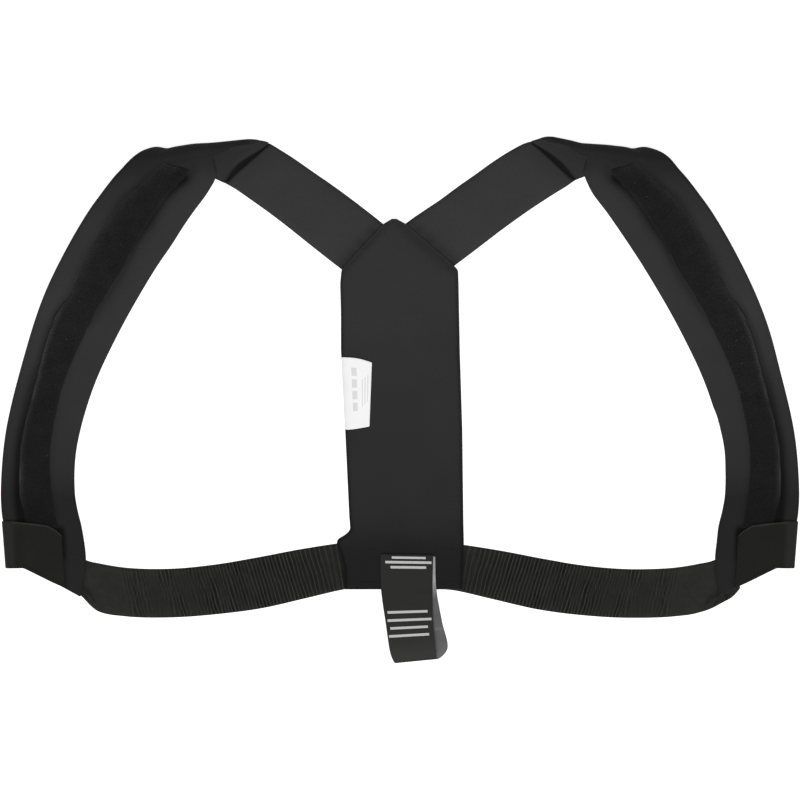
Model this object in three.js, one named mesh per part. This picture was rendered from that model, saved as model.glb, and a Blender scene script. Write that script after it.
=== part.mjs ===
// A posture corrector laid out flat: a padded back panel with a peaked top, two yoke straps, two shoulder
// pads that fold over at the shoulder, loop tapes, hook tabs that wrap the pads' lower ends, elastic side
// straps and two sewn-in labels.
//
// Millimetres. The brace lies on a table in the plane z = 0, with its neck end towards +y, and z is height.
// Tables of the paired pieces hold the right-hand side, with x measured outwards from the centre line.

import * as THREE from "three";

// Driving dimensions

const PANEL_THICK = 5.0;
const HEM_THICK = 2.6;
const YOKE_THICK = 3.5;
const TONGUE_THICK = 1.5;
const PAD_THICK = 5.0;
const TAPE_THICK = 1.6;
const TAB_THICK = 2.0;
const ELASTIC_THICK = 1.8;
const LABEL_THICK = 1.0;
const GAP = 0.3;

const FOLD_RADIUS = { inner: 4.0, outer: 9.5 }; // middle of the pad's thickness at the fold's two ends
const SEAM_BOW = 3.2; // how far the shoulder seam gapes in its middle
const TONGUE_REACH = 0.2; // how far the yoke's tongue runs under the pad, as a share of the way to the fold
const RIB_PITCH = 3.6;
const RIB_DEPTH = 0.5;
const PANEL_UNDER_YOKE = YOKE_THICK + GAP; // lift of the panel's top where the yoke straps lie under it
const PANEL_UNDER_ELASTIC = ELASTIC_THICK + GAP; // lift of its hem, where the side straps lie under it
const PAD_ON_TAB = TAB_THICK + GAP + 0.1; // lift of the pad's lower end, which lies on the hook tab

// Tables, with one row for each section

// The panel's sections from its peak down to its hem: side edges, lift off the table and thickness.
const PANEL_SECTIONS = [
  { y: 144.2, left: -8.4, right: -1.2, lift: PANEL_UNDER_YOKE, thick: 3.4 },
  { y: 141.0, left: -12.4, right: 4.0, lift: PANEL_UNDER_YOKE, thick: 4.2 },
  { y: 128.0, left: -24.4, right: 18.6, lift: PANEL_UNDER_YOKE, thick: 4.6 },
  { y: 110.6, left: -40.6, right: 39.0, lift: PANEL_UNDER_YOKE, thick: 4.8 },
  { y: 104.0, left: -45.8, right: 45.4, lift: PANEL_UNDER_YOKE, thick: 4.8 },
  { y: 70.0, left: -46.4, right: 46.2, lift: PANEL_UNDER_YOKE, thick: PANEL_THICK },
  { y: 52.0, left: -46.4, right: 46.6, lift: 1.2, thick: PANEL_THICK },
  { y: 40.0, left: -46.4, right: 46.8, lift: 0, thick: PANEL_THICK },
  { y: -24.0, left: -43.0, right: 48.8, lift: 0, thick: PANEL_THICK },
  { y: -92.0, left: -40.4, right: 49.6, lift: 0, thick: PANEL_THICK },
  { y: -104.0, left: -40.2, right: 49.8, lift: 0.7, thick: PANEL_THICK },
  { y: -109.6, left: -47.6, right: 50.0, lift: PANEL_UNDER_ELASTIC, thick: 3.6 },
  { y: -116.0, left: -48.8, right: 50.0, lift: PANEL_UNDER_ELASTIC, thick: 3.0 },
  { y: -122.0, left: -46.4, right: 49.8, lift: PANEL_UNDER_ELASTIC, thick: HEM_THICK },
  { y: -134.0, left: -44.0, right: 49.6, lift: PANEL_UNDER_ELASTIC, thick: HEM_THICK },
  { y: -150.4, left: -43.2, right: 48.8, lift: PANEL_UNDER_ELASTIC, thick: HEM_THICK },
];

// The yoke strap's sections from its hidden end under the panel out to the shoulder seam.
const YOKE_SECTIONS = [
  { upperX: 8.0, upperY: 136.2, lowerX: 8.0, lowerY: 78.6 },
  { upperX: 20.0, upperY: 146.0, lowerX: 45.6, lowerY: 105.6 },
  { upperX: 56.8, upperY: 173.6, lowerX: 91.0, lowerY: 140.8 },
  { upperX: 104.8, upperY: 204.6, lowerX: 138.8, lowerY: 175.0 },
];

// The fold's crest in plan: the middle of the pad's thickness, from its inner to its outer edge.
const FOLD_CREST = { innerX: 122.4, innerY: 206.1, outerX: 201.6, outerY: 197.8 };

// The pad's sections from the fold down to its lower end: both edges, with z their lift off the table.
const PAD_SECTIONS = [
  { innerX: 136.8, innerY: 201.2, outerX: 220.0, outerY: 186.4, innerZ: 8.0, outerZ: 19.0 },
  { innerX: 150.0, innerY: 193.2, outerX: 227.2, outerY: 179.2, innerZ: 8.0, outerZ: 18.6 },
  { innerX: 150.0, innerY: 181.6, outerX: 232.8, outerY: 172.4, innerZ: 7.8, outerZ: 17.6 },
  { innerX: 154.6, innerY: 168.0, outerX: 239.2, outerY: 164.0, innerZ: 7.4, outerZ: 16.0 },
  { innerX: 169.6, innerY: 146.4, outerX: 249.6, outerY: 149.6, innerZ: 6.0, outerZ: 12.6 },
  { innerX: 196.0, innerY: 106.4, outerX: 268.4, outerY: 117.6, innerZ: 3.0, outerZ: 6.0 },
  { innerX: 226.4, innerY: 54.4, outerX: 285.6, outerY: 81.6, innerZ: 0.6, outerZ: 1.2 },
  { innerX: 247.2, innerY: 8.0, outerX: 300.8, outerY: 34.4, innerZ: 0, outerZ: 0 },
  { innerX: 260.0, innerY: -40.0, outerX: 314.0, outerY: -25.6, innerZ: 0, outerZ: 0 },
  { innerX: 261.2, innerY: -74.0, outerX: 318.2, outerY: -70.0, innerZ: 0, outerZ: 0 },
  { innerX: 258.8, innerY: -89.0, outerX: 316.8, outerY: -86.0, innerZ: 1.2, outerZ: 1.2 },
  { innerX: 256.4, innerY: -102.0, outerX: 312.6, outerY: -97.6, innerZ: PAD_ON_TAB, outerZ: PAD_ON_TAB },
  { innerX: 252.8, innerY: -129.6, outerX: 312.0, outerY: -113.6, innerZ: PAD_ON_TAB, outerZ: PAD_ON_TAB },
  { innerX: 256.0, innerY: -153.6, outerX: 311.0, outerY: -125.6, innerZ: PAD_ON_TAB, outerZ: PAD_ON_TAB },
];

// The tape covers this share of the pad's width, counted from the inner edge, and veers inwards at its top.
const TAPE_ACROSS = { inner: 0.35, outer: 0.75, veer: 0.14 };
const TAPE_ROWS = { first: 1.1, straight: 4.0, last: 11.9 };

// The hook tab's sections in plan from its free edge, with one corner cut off, out to where it turns under.
const TAB_SECTIONS = [
  { upperX: 270.0, upperY: -108.8, lowerX: 267.2, lowerY: -148.8 },
  { upperX: 274.0, upperY: -104.8, lowerX: 270.4, lowerY: -147.6 },
  { upperX: 281.6, upperY: -100.2, lowerX: 278.4, lowerY: -144.0 },
  { upperX: 298.0, upperY: -98.6, lowerX: 300.8, lowerY: -132.8 },
  { upperX: 310.4, upperY: -97.2, lowerX: 308.8, lowerY: -133.0 },
];

// The side strap's sections from its hidden end under the hem out to its hidden end under the pad.
const ELASTIC_SECTIONS = [
  { upperX: 33.0, upperY: -113.4, lowerX: 31.6, lowerY: -149.2 },
  { upperX: 49.6, upperY: -115.0, lowerX: 44.8, lowerY: -150.6 },
  { upperX: 81.6, upperY: -120.0, lowerX: 75.2, lowerY: -157.6 },
  { upperX: 115.2, upperY: -126.4, lowerX: 110.4, lowerY: -165.6 },
  { upperX: 148.8, upperY: -132.0, lowerX: 146.4, lowerY: -170.4 },
  { upperX: 182.4, upperY: -135.2, lowerX: 182.4, lowerY: -173.0 },
  { upperX: 216.0, upperY: -135.2, lowerX: 219.2, lowerY: -172.2 },
  { upperX: 238.4, upperY: -132.4, lowerX: 241.6, lowerY: -167.8 },
  { upperX: 252.8, upperY: -127.6, lowerX: 255.6, lowerY: -154.0 },
  { upperX: 264.6, upperY: -117.6, lowerX: 265.2, lowerY: -147.6 },
];

// The loop label: side edges and height from its sewn end on the hem, down its front, round and back.
const HANG_LABEL_SECTIONS = [
  { leftX: -16.0, leftY: -122.6, rightX: 27.6, rightY: -123.4, height: 5.5 },
  { leftX: -15.6, leftY: -150.4, rightX: 28.8, rightY: -150.4, height: 5.7 },
  { leftX: -12.4, leftY: -177.6, rightX: 29.8, rightY: -176.0, height: 5.2 },
  { leftX: -7.0, leftY: -204.0, rightX: 30.8, rightY: -201.2, height: 5.4 },
  { leftX: -5.6, leftY: -208.8, rightX: 33.4, rightY: -205.6, height: 3.2 },
  { leftX: -4.6, leftY: -204.0, rightX: 36.8, rightY: -199.6, height: 1.1 },
  { leftX: -8.0, leftY: -177.6, rightX: 34.4, rightY: -176.0, height: 0.8 },
  { leftX: -14.0, leftY: -147.0, rightX: 29.6, rightY: -146.4, height: 0.6 },
];

// The care label: distance in from the panel's left edge and height, from its seam to its free edge.
const CARE_LABEL_SECTIONS = [
  { inset: -0.9, top: 34.4, bottom: -23.6, height: 2.6 },
  { inset: 0.6, top: 34.3, bottom: -23.8, height: 4.3 },
  { inset: 4.0, top: 34.0, bottom: -23.6, height: 5.9 },
  { inset: 13.0, top: 32.2, bottom: -21.8, height: 6.9 },
  { inset: 22.8, top: 28.2, bottom: -20.0, height: 6.2 },
];

// Finishes

const FINISHES = {
  neoprene: { color: 0x323232, roughness: 0.85, metalness: 0 },
  loopPile: { color: 0x1c1c1b, roughness: 1.0, metalness: 0 },
  hookTab: { color: 0x2a2a29, roughness: 0.8, metalness: 0 },
  elastic: { color: 0x282826, roughness: 0.75, metalness: 0 },
  satinBlack: { color: 0x343433, roughness: 0.5, metalness: 0 },
  satinWhite: { color: 0xf0f0ee, roughness: 0.6, metalness: 0 },
};

// Helpers

const { lerp, clamp } = THREE.MathUtils;

function ramp(value, from, to) {
  return THREE.MathUtils.smoothstep(value, from, to);
}

// Evenly spaced numbers, both ends included.
function steps(from, to, count) {
  return Array.from({ length: count + 1 }, (_, i) => lerp(from, to, i / count));
}

// A smooth edge through the rows of a table; pick turns a row into its point on that edge.
function edgeThrough(rows, pick) {
  const curve = new THREE.CatmullRomCurve3(rows.map(pick), false, "centripetal");
  return (row) => curve.getPoint(clamp(row / (rows.length - 1), 0, 1));
}

// One column of a table, read between its rows.
function columnAt(rows, row, name) {
  const first = clamp(Math.floor(row), 0, rows.length - 2);
  return lerp(rows[first][name], rows[first + 1][name], row - first);
}

// Thickness across a soft section: full in the middle, rounded off at both edges.
function pillow(v, thick, edgeShare = 0.3, squareness = 5) {
  const rounded = Math.pow(1 - Math.pow(Math.abs(2 * v - 1), squareness), 1 / squareness);
  return thick * Math.max(edgeShare, rounded);
}

// The direction in which a surface faces.
function facing(point, u, v) {
  const step = 1e-3;
  const alongU = point(u + step, v).sub(point(u - step, v));
  const alongV = point(u, v + step).sub(point(u, v - step));
  return alongU.cross(alongV).normalize();
}

// A closed cloth solid on the surface point(u, v). Below is the share of its thickness behind the surface.
function clothSolid({ point, along, across, thickness, below = 0.5 }) {
  const position = [];
  const index = [];
  const columns = across.length;
  for (const u of along) {
    for (const v of across) {
      const middle = point(u, v);
      const outward = facing(point, u, v);
      const thick = thickness(u, v);
      position.push(...middle.clone().addScaledVector(outward, thick * (1 - below)).toArray());
      position.push(...middle.clone().addScaledVector(outward, -thick * below).toArray());
    }
  }
  const front = (i, j) => 2 * (i * columns + j);
  const back = (i, j) => front(i, j) + 1;
  const quad = (a, b, c, d) => index.push(a, b, c, a, c, d);
  const lastRow = along.length - 1;
  const lastColumn = columns - 1;
  for (let i = 0; i < lastRow; i++) {
    for (let j = 0; j < lastColumn; j++) {
      quad(front(i, j), front(i + 1, j), front(i + 1, j + 1), front(i, j + 1));
      quad(back(i, j), back(i, j + 1), back(i + 1, j + 1), back(i + 1, j));
    }
    quad(front(i, 0), back(i, 0), back(i + 1, 0), front(i + 1, 0));
    quad(front(i, lastColumn), front(i + 1, lastColumn), back(i + 1, lastColumn), back(i, lastColumn));
  }
  for (let j = 0; j < lastColumn; j++) {
    quad(front(0, j), front(0, j + 1), back(0, j + 1), back(0, j));
    quad(front(lastRow, j), back(lastRow, j), back(lastRow, j + 1), front(lastRow, j + 1));
  }
  const geometry = new THREE.BufferGeometry();
  geometry.setAttribute("position", new THREE.Float32BufferAttribute(position, 3));
  geometry.setIndex(index);
  geometry.computeVertexNormals();
  return geometry;
}

function piece(name, geometry, finish) {
  const mesh = new THREE.Mesh(geometry, new THREE.MeshStandardMaterial(FINISHES[finish]));
  mesh.name = name;
  return mesh;
}

// Back panel: a padded strip with a flat underside, a peaked top and a thin sewn hem

const SOFT_ACROSS = [0, 0.012, 0.04, 0.12, 0.3, 0.5, 0.7, 0.88, 0.96, 0.988, 1];

function backPanel() {
  const point = (u, v) => {
    const x = lerp(columnAt(PANEL_SECTIONS, u, "left"), columnAt(PANEL_SECTIONS, u, "right"), v);
    return new THREE.Vector3(x, columnAt(PANEL_SECTIONS, u, "y"), columnAt(PANEL_SECTIONS, u, "lift"));
  };
  return clothSolid({
    point,
    along: PANEL_SECTIONS.map((_, row) => row),
    across: SOFT_ACROSS,
    thickness: (u, v) => pillow(v, columnAt(PANEL_SECTIONS, u, "thick")),
    below: 0,
  });
}

function panelLeftAt(y) {
  const row = PANEL_SECTIONS.findIndex((section) => section.y <= y);
  const [above, under] = [PANEL_SECTIONS[row - 1], PANEL_SECTIONS[row]];
  return lerp(above.left, under.left, (above.y - y) / (above.y - under.y));
}

// Shoulder fold: the lower layer rises into the fold, and the upper layer comes back above it

const crestInner = new THREE.Vector3(FOLD_CREST.innerX, FOLD_CREST.innerY, 0);
const crestOuter = new THREE.Vector3(FOLD_CREST.outerX, FOLD_CREST.outerY, 0);
const crestLine = crestOuter.clone().sub(crestInner);
const foldOut = new THREE.Vector3(-crestLine.y, crestLine.x, 0).normalize();

function foldRadius(v) {
  return lerp(FOLD_RADIUS.inner, FOLD_RADIUS.outer, clamp(v, 0, 1));
}

// Height of the lower layer's underside above the table at a place in plan.
function lowerLayerRise(place) {
  const fromCrest = place.clone().sub(crestInner);
  const radius = foldRadius(fromCrest.dot(crestLine) / crestLine.lengthSq());
  const beyond = clamp(fromCrest.dot(foldOut) + radius, 0, radius);
  return radius - Math.sqrt(radius ** 2 - beyond ** 2);
}

// Rulings in plan, from the pad's inner edge (v = 0) to its outer edge (v = 1).
function seamRuling(v) {
  const seam = YOKE_SECTIONS[YOKE_SECTIONS.length - 1];
  return new THREE.Vector3(lerp(seam.upperX, seam.lowerX, v), lerp(seam.upperY, seam.lowerY, v), 0);
}

function crestRuling(v) {
  return crestInner.clone().lerp(crestOuter, v);
}

function seamToCrest(v, share) {
  return seamRuling(v).lerp(crestRuling(v), share);
}

// Yoke strap: from under the panel to the shoulder seam, with a thin tongue that runs on under the pad

const yokeUpper = edgeThrough(YOKE_SECTIONS, (row) => new THREE.Vector3(row.upperX, row.upperY, 0));
const yokeLower = edgeThrough(YOKE_SECTIONS, (row) => new THREE.Vector3(row.lowerX, row.lowerY, 0));
const YOKE_SEAM = YOKE_SECTIONS.length - 1; // row of the seam; rows past it are on the tongue
const SEAM_STEP = 0.012; // share of a row over which the yoke steps down to its tongue

function yokePoint(u, v) {
  const place =
    u <= YOKE_SEAM
      ? yokeLower(u).lerp(yokeUpper(u), v)
      : seamToCrest(1 - v, (u - YOKE_SEAM) * TONGUE_REACH);
  place.z = lowerLayerRise(place);
  return place;
}

function yokeStrap() {
  const shoulder = YOKE_SEAM - SEAM_STEP;
  return clothSolid({
    point: yokePoint,
    along: [0, 0.5, ...steps(1, 2.75, 7), shoulder, YOKE_SEAM, YOKE_SEAM + 0.5, YOKE_SEAM + 1],
    across: SOFT_ACROSS,
    thickness: (u, v) => pillow(v, u <= shoulder + 1e-6 ? YOKE_THICK : TONGUE_THICK),
    below: 0,
  });
}

// Shoulder pad: rows -2 to -1 are the lower layer, -1 to 0 the fold's upper half, then the table's rows

const padInner = edgeThrough(PAD_SECTIONS, (row) => new THREE.Vector3(row.innerX, row.innerY, row.innerZ));
const padOuter = edgeThrough(PAD_SECTIONS, (row) => new THREE.Vector3(row.outerX, row.outerY, row.outerZ));
const PAD_END = PAD_SECTIONS.length - 1;
const PAD_SEAM = -2;
const PAD_CREST = -1;
const LAP_END = -1.72; // where the pad's underside has come down past the yoke's tongue
const SEAM_GAP = 0.02; // share of the way to the crest that parts the pad's end from the yoke

// A lift that comes down smoothly onto the table and never below it.
function settled(lift) {
  return (lift + Math.hypot(lift, 0.3)) / 2;
}

// How far the pad's underside is raised over the yoke's tongue.
function lapRise(u) {
  return (TONGUE_THICK + GAP) * (1 - ramp(u, LAP_END - 0.1, LAP_END));
}

function padPoint(u, v) {
  if (u >= 0) {
    const place = padInner(u).lerp(padOuter(u), v);
    return place.setZ(settled(place.z) + PAD_THICK / 2);
  }
  if (u >= PAD_CREST) {
    const turned = u - PAD_CREST;
    const angle = (Math.PI / 2) * (1 + turned);
    const radius = foldRadius(v);
    const axis = crestRuling(v).addScaledVector(foldOut, -radius);
    const place = axis.lerp(padInner(0).lerp(padOuter(0), v).setZ(0), turned);
    place.addScaledVector(foldOut, radius * Math.sin(angle));
    return place.setZ(PAD_THICK / 2 + radius * (1 - Math.cos(angle)));
  }
  const share = lerp(SEAM_GAP, 1, Math.sin(((u - PAD_SEAM) * Math.PI) / 2));
  const inward = crestRuling(v).sub(seamRuling(v)).normalize();
  const bow = SEAM_BOW * 4 * v * (1 - v) * (1 - ramp(share, 0, 0.5));
  const place = seamToCrest(v, share).addScaledVector(inward, bow);
  place.z = lowerLayerRise(place) + (PAD_THICK + lapRise(u)) / 2;
  return place;
}

function padThickness(u, v) {
  const room = u < PAD_CREST ? PAD_THICK - lapRise(u) : PAD_THICK;
  return pillow(v, room);
}

const PAD_ACROSS = [0, 0.015, 0.05, 0.15, TAPE_ACROSS.inner, 0.55, TAPE_ACROSS.outer, 0.88, 0.95, 0.985, 1];
const PAD_LOWER_ROWS = [PAD_SEAM, -1.9, ...steps(-1.82, LAP_END, 2), ...steps(-1.5, PAD_CREST, 4)];
const PAD_END_ROWS = steps(PAD_END - 1.5, PAD_END, 3);
const PAD_TABLE_ROWS = [...steps(0.25, 5, 19), ...steps(5.3, PAD_END - 2, 19), ...PAD_END_ROWS];

function shoulderPad() {
  return clothSolid({
    point: padPoint,
    along: [...PAD_LOWER_ROWS, ...steps(-0.8, 0, 4), ...PAD_TABLE_ROWS],
    across: PAD_ACROSS,
    thickness: padThickness,
  });
}

// A place at a height above the pad's upper face.
function abovePad(u, v, height) {
  return padPoint(u, v).addScaledVector(facing(padPoint, u, v), padThickness(u, v) / 2 + height);
}

// Loop tape: a strip of pile laid along the middle of the pad

function loopTape() {
  const padShare = (u, v) =>
    lerp(TAPE_ACROSS.inner, TAPE_ACROSS.outer, v) -
    TAPE_ACROSS.veer * (1 - ramp(u, TAPE_ROWS.first, TAPE_ROWS.straight));
  const rows = PAD_TABLE_ROWS.filter((row) => row > TAPE_ROWS.first && row < TAPE_ROWS.last);
  return clothSolid({
    point: (u, v) => abovePad(u, padShare(u, v), GAP),
    along: [TAPE_ROWS.first, ...rows, TAPE_ROWS.last],
    across: [0, 0.5, 1],
    thickness: () => TAPE_THICK,
    below: 0,
  });
}

// Hook tab: laid on the tape at the pad's lower end, turned round the pad's outer edge and under the pad

const TAB_LOW = TAB_THICK / 2;
const TAB_HIGH = PAD_ON_TAB + PAD_THICK + TAPE_THICK + 2 * GAP + TAB_THICK / 2 + 0.2;
const TAB_TURN = (TAB_HIGH - TAB_LOW) / 2;

const TAB_TURN_ROW = TAB_SECTIONS.length - 1;

function tabRuling(row, v) {
  const x = lerp(columnAt(TAB_SECTIONS, row, "lowerX"), columnAt(TAB_SECTIONS, row, "upperX"), v);
  const y = lerp(columnAt(TAB_SECTIONS, row, "lowerY"), columnAt(TAB_SECTIONS, row, "upperY"), v);
  return new THREE.Vector3(x, y, 0);
}

// The table's rows on top, one more row for the turn, then the table's rows in reverse underneath.
function tabPoint(u, v) {
  if (u <= TAB_TURN_ROW) return tabRuling(u, v).setZ(TAB_HIGH);
  if (u >= TAB_TURN_ROW + 1) return tabRuling(2 * TAB_TURN_ROW + 1 - u, v).setZ(TAB_LOW);
  const angle = (u - TAB_TURN_ROW) * Math.PI;
  const place = tabRuling(TAB_TURN_ROW, v);
  place.x += TAB_TURN * Math.sin(angle);
  return place.setZ((TAB_HIGH + TAB_LOW) / 2 + TAB_TURN * Math.cos(angle));
}

function hookTab() {
  return clothSolid({
    point: tabPoint,
    along: [...steps(0, 4, 4), ...steps(4.125, 4.875, 6), ...steps(5, 9, 4)],
    across: steps(0, 1, 3),
    thickness: () => TAB_THICK,
  });
}

// Side strap: ribbed elastic whose ribs flatten out towards the pad

const elasticUpper = edgeThrough(ELASTIC_SECTIONS, (row) => new THREE.Vector3(row.upperX, row.upperY, 0));
const elasticLower = edgeThrough(ELASTIC_SECTIONS, (row) => new THREE.Vector3(row.lowerX, row.lowerY, 0));
const ELASTIC_END = ELASTIC_SECTIONS.length - 1;
const RIBS_START = 1.0;
const RIBS_END = 7.0;

function sideElastic() {
  const point = (u, v) => elasticLower(u).lerp(elasticUpper(u), v);
  const ribbedLength = point(RIBS_START, 0.5).distanceTo(point(RIBS_END, 0.5));
  const halfRibs = 2 * Math.round(ribbedLength / RIB_PITCH);
  const ribbed = steps(RIBS_START, RIBS_END, halfRibs);
  const grooves = new Set(ribbed.filter((_, i) => i % 2 === 1));
  return clothSolid({
    point,
    along: [0, 0.5, ...ribbed, 7.4, 7.8, 8.2, 8.6, ELASTIC_END],
    across: [0, 0.5, 1],
    thickness: (u) => ELASTIC_THICK - (grooves.has(u) ? RIB_DEPTH * (1 - ramp(u, 4.5, RIBS_END)) : 0),
    below: 0,
  });
}

// Labels: a folded loop under the hem's middle, and a care label in the panel's left seam

function hangLabel() {
  const rows = HANG_LABEL_SECTIONS;
  const leftEdge = edgeThrough(rows, (row) => new THREE.Vector3(row.leftX, row.leftY, row.height));
  const rightEdge = edgeThrough(rows, (row) => new THREE.Vector3(row.rightX, row.rightY, row.height));
  return clothSolid({
    point: (u, v) => leftEdge(u).lerp(rightEdge(u), v),
    along: [0, 0.5, 1, 1.5, 2, 2.5, ...steps(3, 5, 8), 5.5, 6, 6.5, 7],
    across: [0, 0.5, 1],
    thickness: () => LABEL_THICK,
  });
}

function careLabel() {
  const edgeAt = (side) =>
    edgeThrough(
      CARE_LABEL_SECTIONS,
      (row) => new THREE.Vector3(panelLeftAt(row[side]) + row.inset, row[side], row.height),
    );
  const upper = edgeAt("top");
  const lower = edgeAt("bottom");
  return clothSolid({
    point: (u, v) => lower(u).lerp(upper(u), v),
    along: steps(0, CARE_LABEL_SECTIONS.length - 1, 8),
    across: steps(0, 1, 3),
    thickness: () => LABEL_THICK,
  });
}

// Assembly

const SIDES = [
  { suffix: "left", mirror: -1 },
  { suffix: "right", mirror: 1 },
];

const postureCorrector = new THREE.Group();
postureCorrector.add(piece("back_panel", backPanel(), "neoprene"));
for (const { suffix, mirror } of SIDES) {
  const half = new THREE.Group();
  half.scale.x = mirror;
  half.add(piece(`yoke_strap_${suffix}`, yokeStrap(), "neoprene"));
  half.add(piece(`shoulder_pad_${suffix}`, shoulderPad(), "neoprene"));
  half.add(piece(`loop_tape_${suffix}`, loopTape(), "loopPile"));
  half.add(piece(`hook_tab_${suffix}`, hookTab(), "hookTab"));
  half.add(piece(`side_elastic_${suffix}`, sideElastic(), "elastic"));
  postureCorrector.add(half);
}
postureCorrector.add(piece("hang_label", hangLabel(), "satinBlack"));
postureCorrector.add(piece("care_label", careLabel(), "satinWhite"));

// The origin is the middle of the footprint, at the table's height.
const outline = new THREE.Box3().setFromObject(postureCorrector);
const middle = outline.getCenter(new THREE.Vector3()).setZ(outline.min.z);
for (const child of postureCorrector.children) child.position.sub(middle);

export default postureCorrector;
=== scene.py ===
# %% [markdown]
# # A posture corrector, laid out flat
# The real thing is a black brace: a padded back panel, two yoke straps, two padded shoulder straps that
# fold over at the shoulder, strips of loop tape, hook tabs, ribbed elastic side straps and two sewn-in
# labels. The imported CAD model is loaded first, because it fixes where every piece goes.

import math

import bpy
import numpy as np
from mathutils import Matrix, Vector, noise
from mathutils.bvhtree import BVHTree


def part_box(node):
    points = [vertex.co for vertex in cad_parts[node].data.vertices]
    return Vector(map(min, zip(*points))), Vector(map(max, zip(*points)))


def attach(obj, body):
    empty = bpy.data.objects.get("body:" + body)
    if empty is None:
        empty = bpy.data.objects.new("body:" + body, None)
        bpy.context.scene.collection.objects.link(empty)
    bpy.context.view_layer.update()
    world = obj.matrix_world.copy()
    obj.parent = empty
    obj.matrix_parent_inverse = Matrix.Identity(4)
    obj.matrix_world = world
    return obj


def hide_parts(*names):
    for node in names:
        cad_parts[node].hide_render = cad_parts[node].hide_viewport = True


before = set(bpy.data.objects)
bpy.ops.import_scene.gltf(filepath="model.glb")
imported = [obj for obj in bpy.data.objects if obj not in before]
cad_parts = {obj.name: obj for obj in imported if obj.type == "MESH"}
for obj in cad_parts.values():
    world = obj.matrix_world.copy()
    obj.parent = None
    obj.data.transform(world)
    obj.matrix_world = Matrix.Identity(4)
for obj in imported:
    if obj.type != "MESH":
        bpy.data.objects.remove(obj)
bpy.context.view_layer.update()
bpy.ops.object.select_all(action="DESELECT")

# %% [markdown]
# ## Units and the cutting pattern's place
# Blender works in metres, and a sewing pattern is easier to read in millimetres, so tables are in
# millimetres and are multiplied by MM as they become points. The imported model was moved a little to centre
# it. The panel's hem tells how far, and every piece below gets the same shift.

# %% Units
MM = 0.001
HEM_Y = -150.4
PATTERN_SHIFT = np.array([0.0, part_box("back_panel")[0][1] / MM - HEM_Y, 0.0])
print("pattern shift in mm:", PATTERN_SHIFT.round(3))

# %% [markdown]
# ## Camera and light
# The brace was photographed from straight above on white. A long lens far above gives the same flat look.
# One soft light stands high on the hem's side, so faces that look towards the neck end, such as the
# shoulder folds, fall into shade. The surround is bright to the camera and dim to the cloth, which keeps
# black fabric black.

# %% Camera
scene = bpy.context.scene
CAMERA_HEIGHT, PICTURE_WIDTH = 9.0, 0.640
SENSOR = 36
bpy.ops.object.camera_add(location=(0, PATTERN_SHIFT[1] * MM, CAMERA_HEIGHT), rotation=(0, 0, 0))
camera = bpy.context.object
camera.data.sensor_width = SENSOR
camera.data.lens = SENSOR * CAMERA_HEIGHT / PICTURE_WIDTH
camera.data.clip_end = 40
scene.camera = camera
print("lens:", round(camera.data.lens, 1), "mm")

# %% Light
LIGHT_BACK, LIGHT_HEIGHT = 1.0, 2.6
tilt = math.atan2(LIGHT_BACK, LIGHT_HEIGHT)
bpy.ops.object.light_add(type="AREA", location=(0, -LIGHT_BACK, LIGHT_HEIGHT), rotation=(tilt, 0, 0))
softbox = bpy.context.object
softbox.name = "softbox"
softbox.data.size = 2.4
softbox.data.energy = 104
softbox.visible_camera = False
print("softbox:", softbox.data.energy, "W")

# %% Surround
SURROUND_LIGHT, SURROUND_SEEN = 0.3, 1.0
surround = bpy.data.worlds.new("surround")
surround.use_nodes = True
sky = surround.node_tree.nodes["Background"]
sky.inputs["Color"].default_value = (1, 1, 1, 1)
seen = surround.node_tree.nodes.new("ShaderNodeLightPath").outputs["Is Camera Ray"]
dimming = surround.node_tree.nodes.new("ShaderNodeMapRange")
dimming.inputs["To Min"].default_value = SURROUND_LIGHT
dimming.inputs["To Max"].default_value = SURROUND_SEEN
surround.node_tree.links.new(seen, dimming.inputs["Value"])
surround.node_tree.links.new(dimming.outputs["Result"], sky.inputs["Strength"])
scene.world = surround
scene.view_settings.view_transform = "Standard"
print("surround: light", SURROUND_LIGHT, "seen", SURROUND_SEEN)

# %% [markdown]
# ## Helpers that wire finishes
# Every finish is a small node tree round one Principled shader. These helpers add a node, set its inputs
# and link what is given as a socket, so each finish reads as a short list.

# %% Finish helpers
def new_finish(name, roughness, specular, sheen=0.0):
    finish = bpy.data.materials.new(name)
    finish.use_nodes = True
    shader = finish.node_tree.nodes["Principled BSDF"]
    shader.inputs["Roughness"].default_value = roughness
    shader.inputs["Specular IOR Level"].default_value = specular
    shader.inputs["Sheen Weight"].default_value = sheen
    shader.inputs["Sheen Roughness"].default_value = 0.5
    return finish, shader


def wire(finish, kind, sockets, **settings):
    node = finish.node_tree.nodes.new("ShaderNode" + kind)
    for name, value in settings.items():
        setattr(node, name, value)
    for name, value in sockets.items():
        if isinstance(value, bpy.types.NodeSocket):
            finish.node_tree.links.new(value, node.inputs[name])
        else:
            node.inputs[name].default_value = value
    return node


def grey_ramp(finish, factor, *stops):
    """Greys, or colours, along a factor: each stop is a place and a grey."""
    ramp = wire(finish, "ValToRGB", {"Fac": factor})
    while len(ramp.color_ramp.elements) < len(stops):
        ramp.color_ramp.elements.new(0.5)
    for element, (place, grey) in zip(ramp.color_ramp.elements, stops):
        element.position = place
        element.color = (*(grey if hasattr(grey, "__len__") else (grey,) * 3), 1)
    return ramp.outputs["Color"]


def feed(finish, shader, **sockets):
    for name, socket in sockets.items():
        finish.node_tree.links.new(socket, shader.inputs[name.replace("_", " ")])


print("finish helpers ready")

# %% Parts of a finish
def on_object(finish):
    return wire(finish, "TexCoord", {}).outputs["Object"]


def on_cloth(finish):
    """The cloth's own lengths, in metres, along X and across Y."""
    return wire(finish, "SeparateXYZ", {0: wire(finish, "UVMap", {}).outputs["UV"]}).outputs


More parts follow.
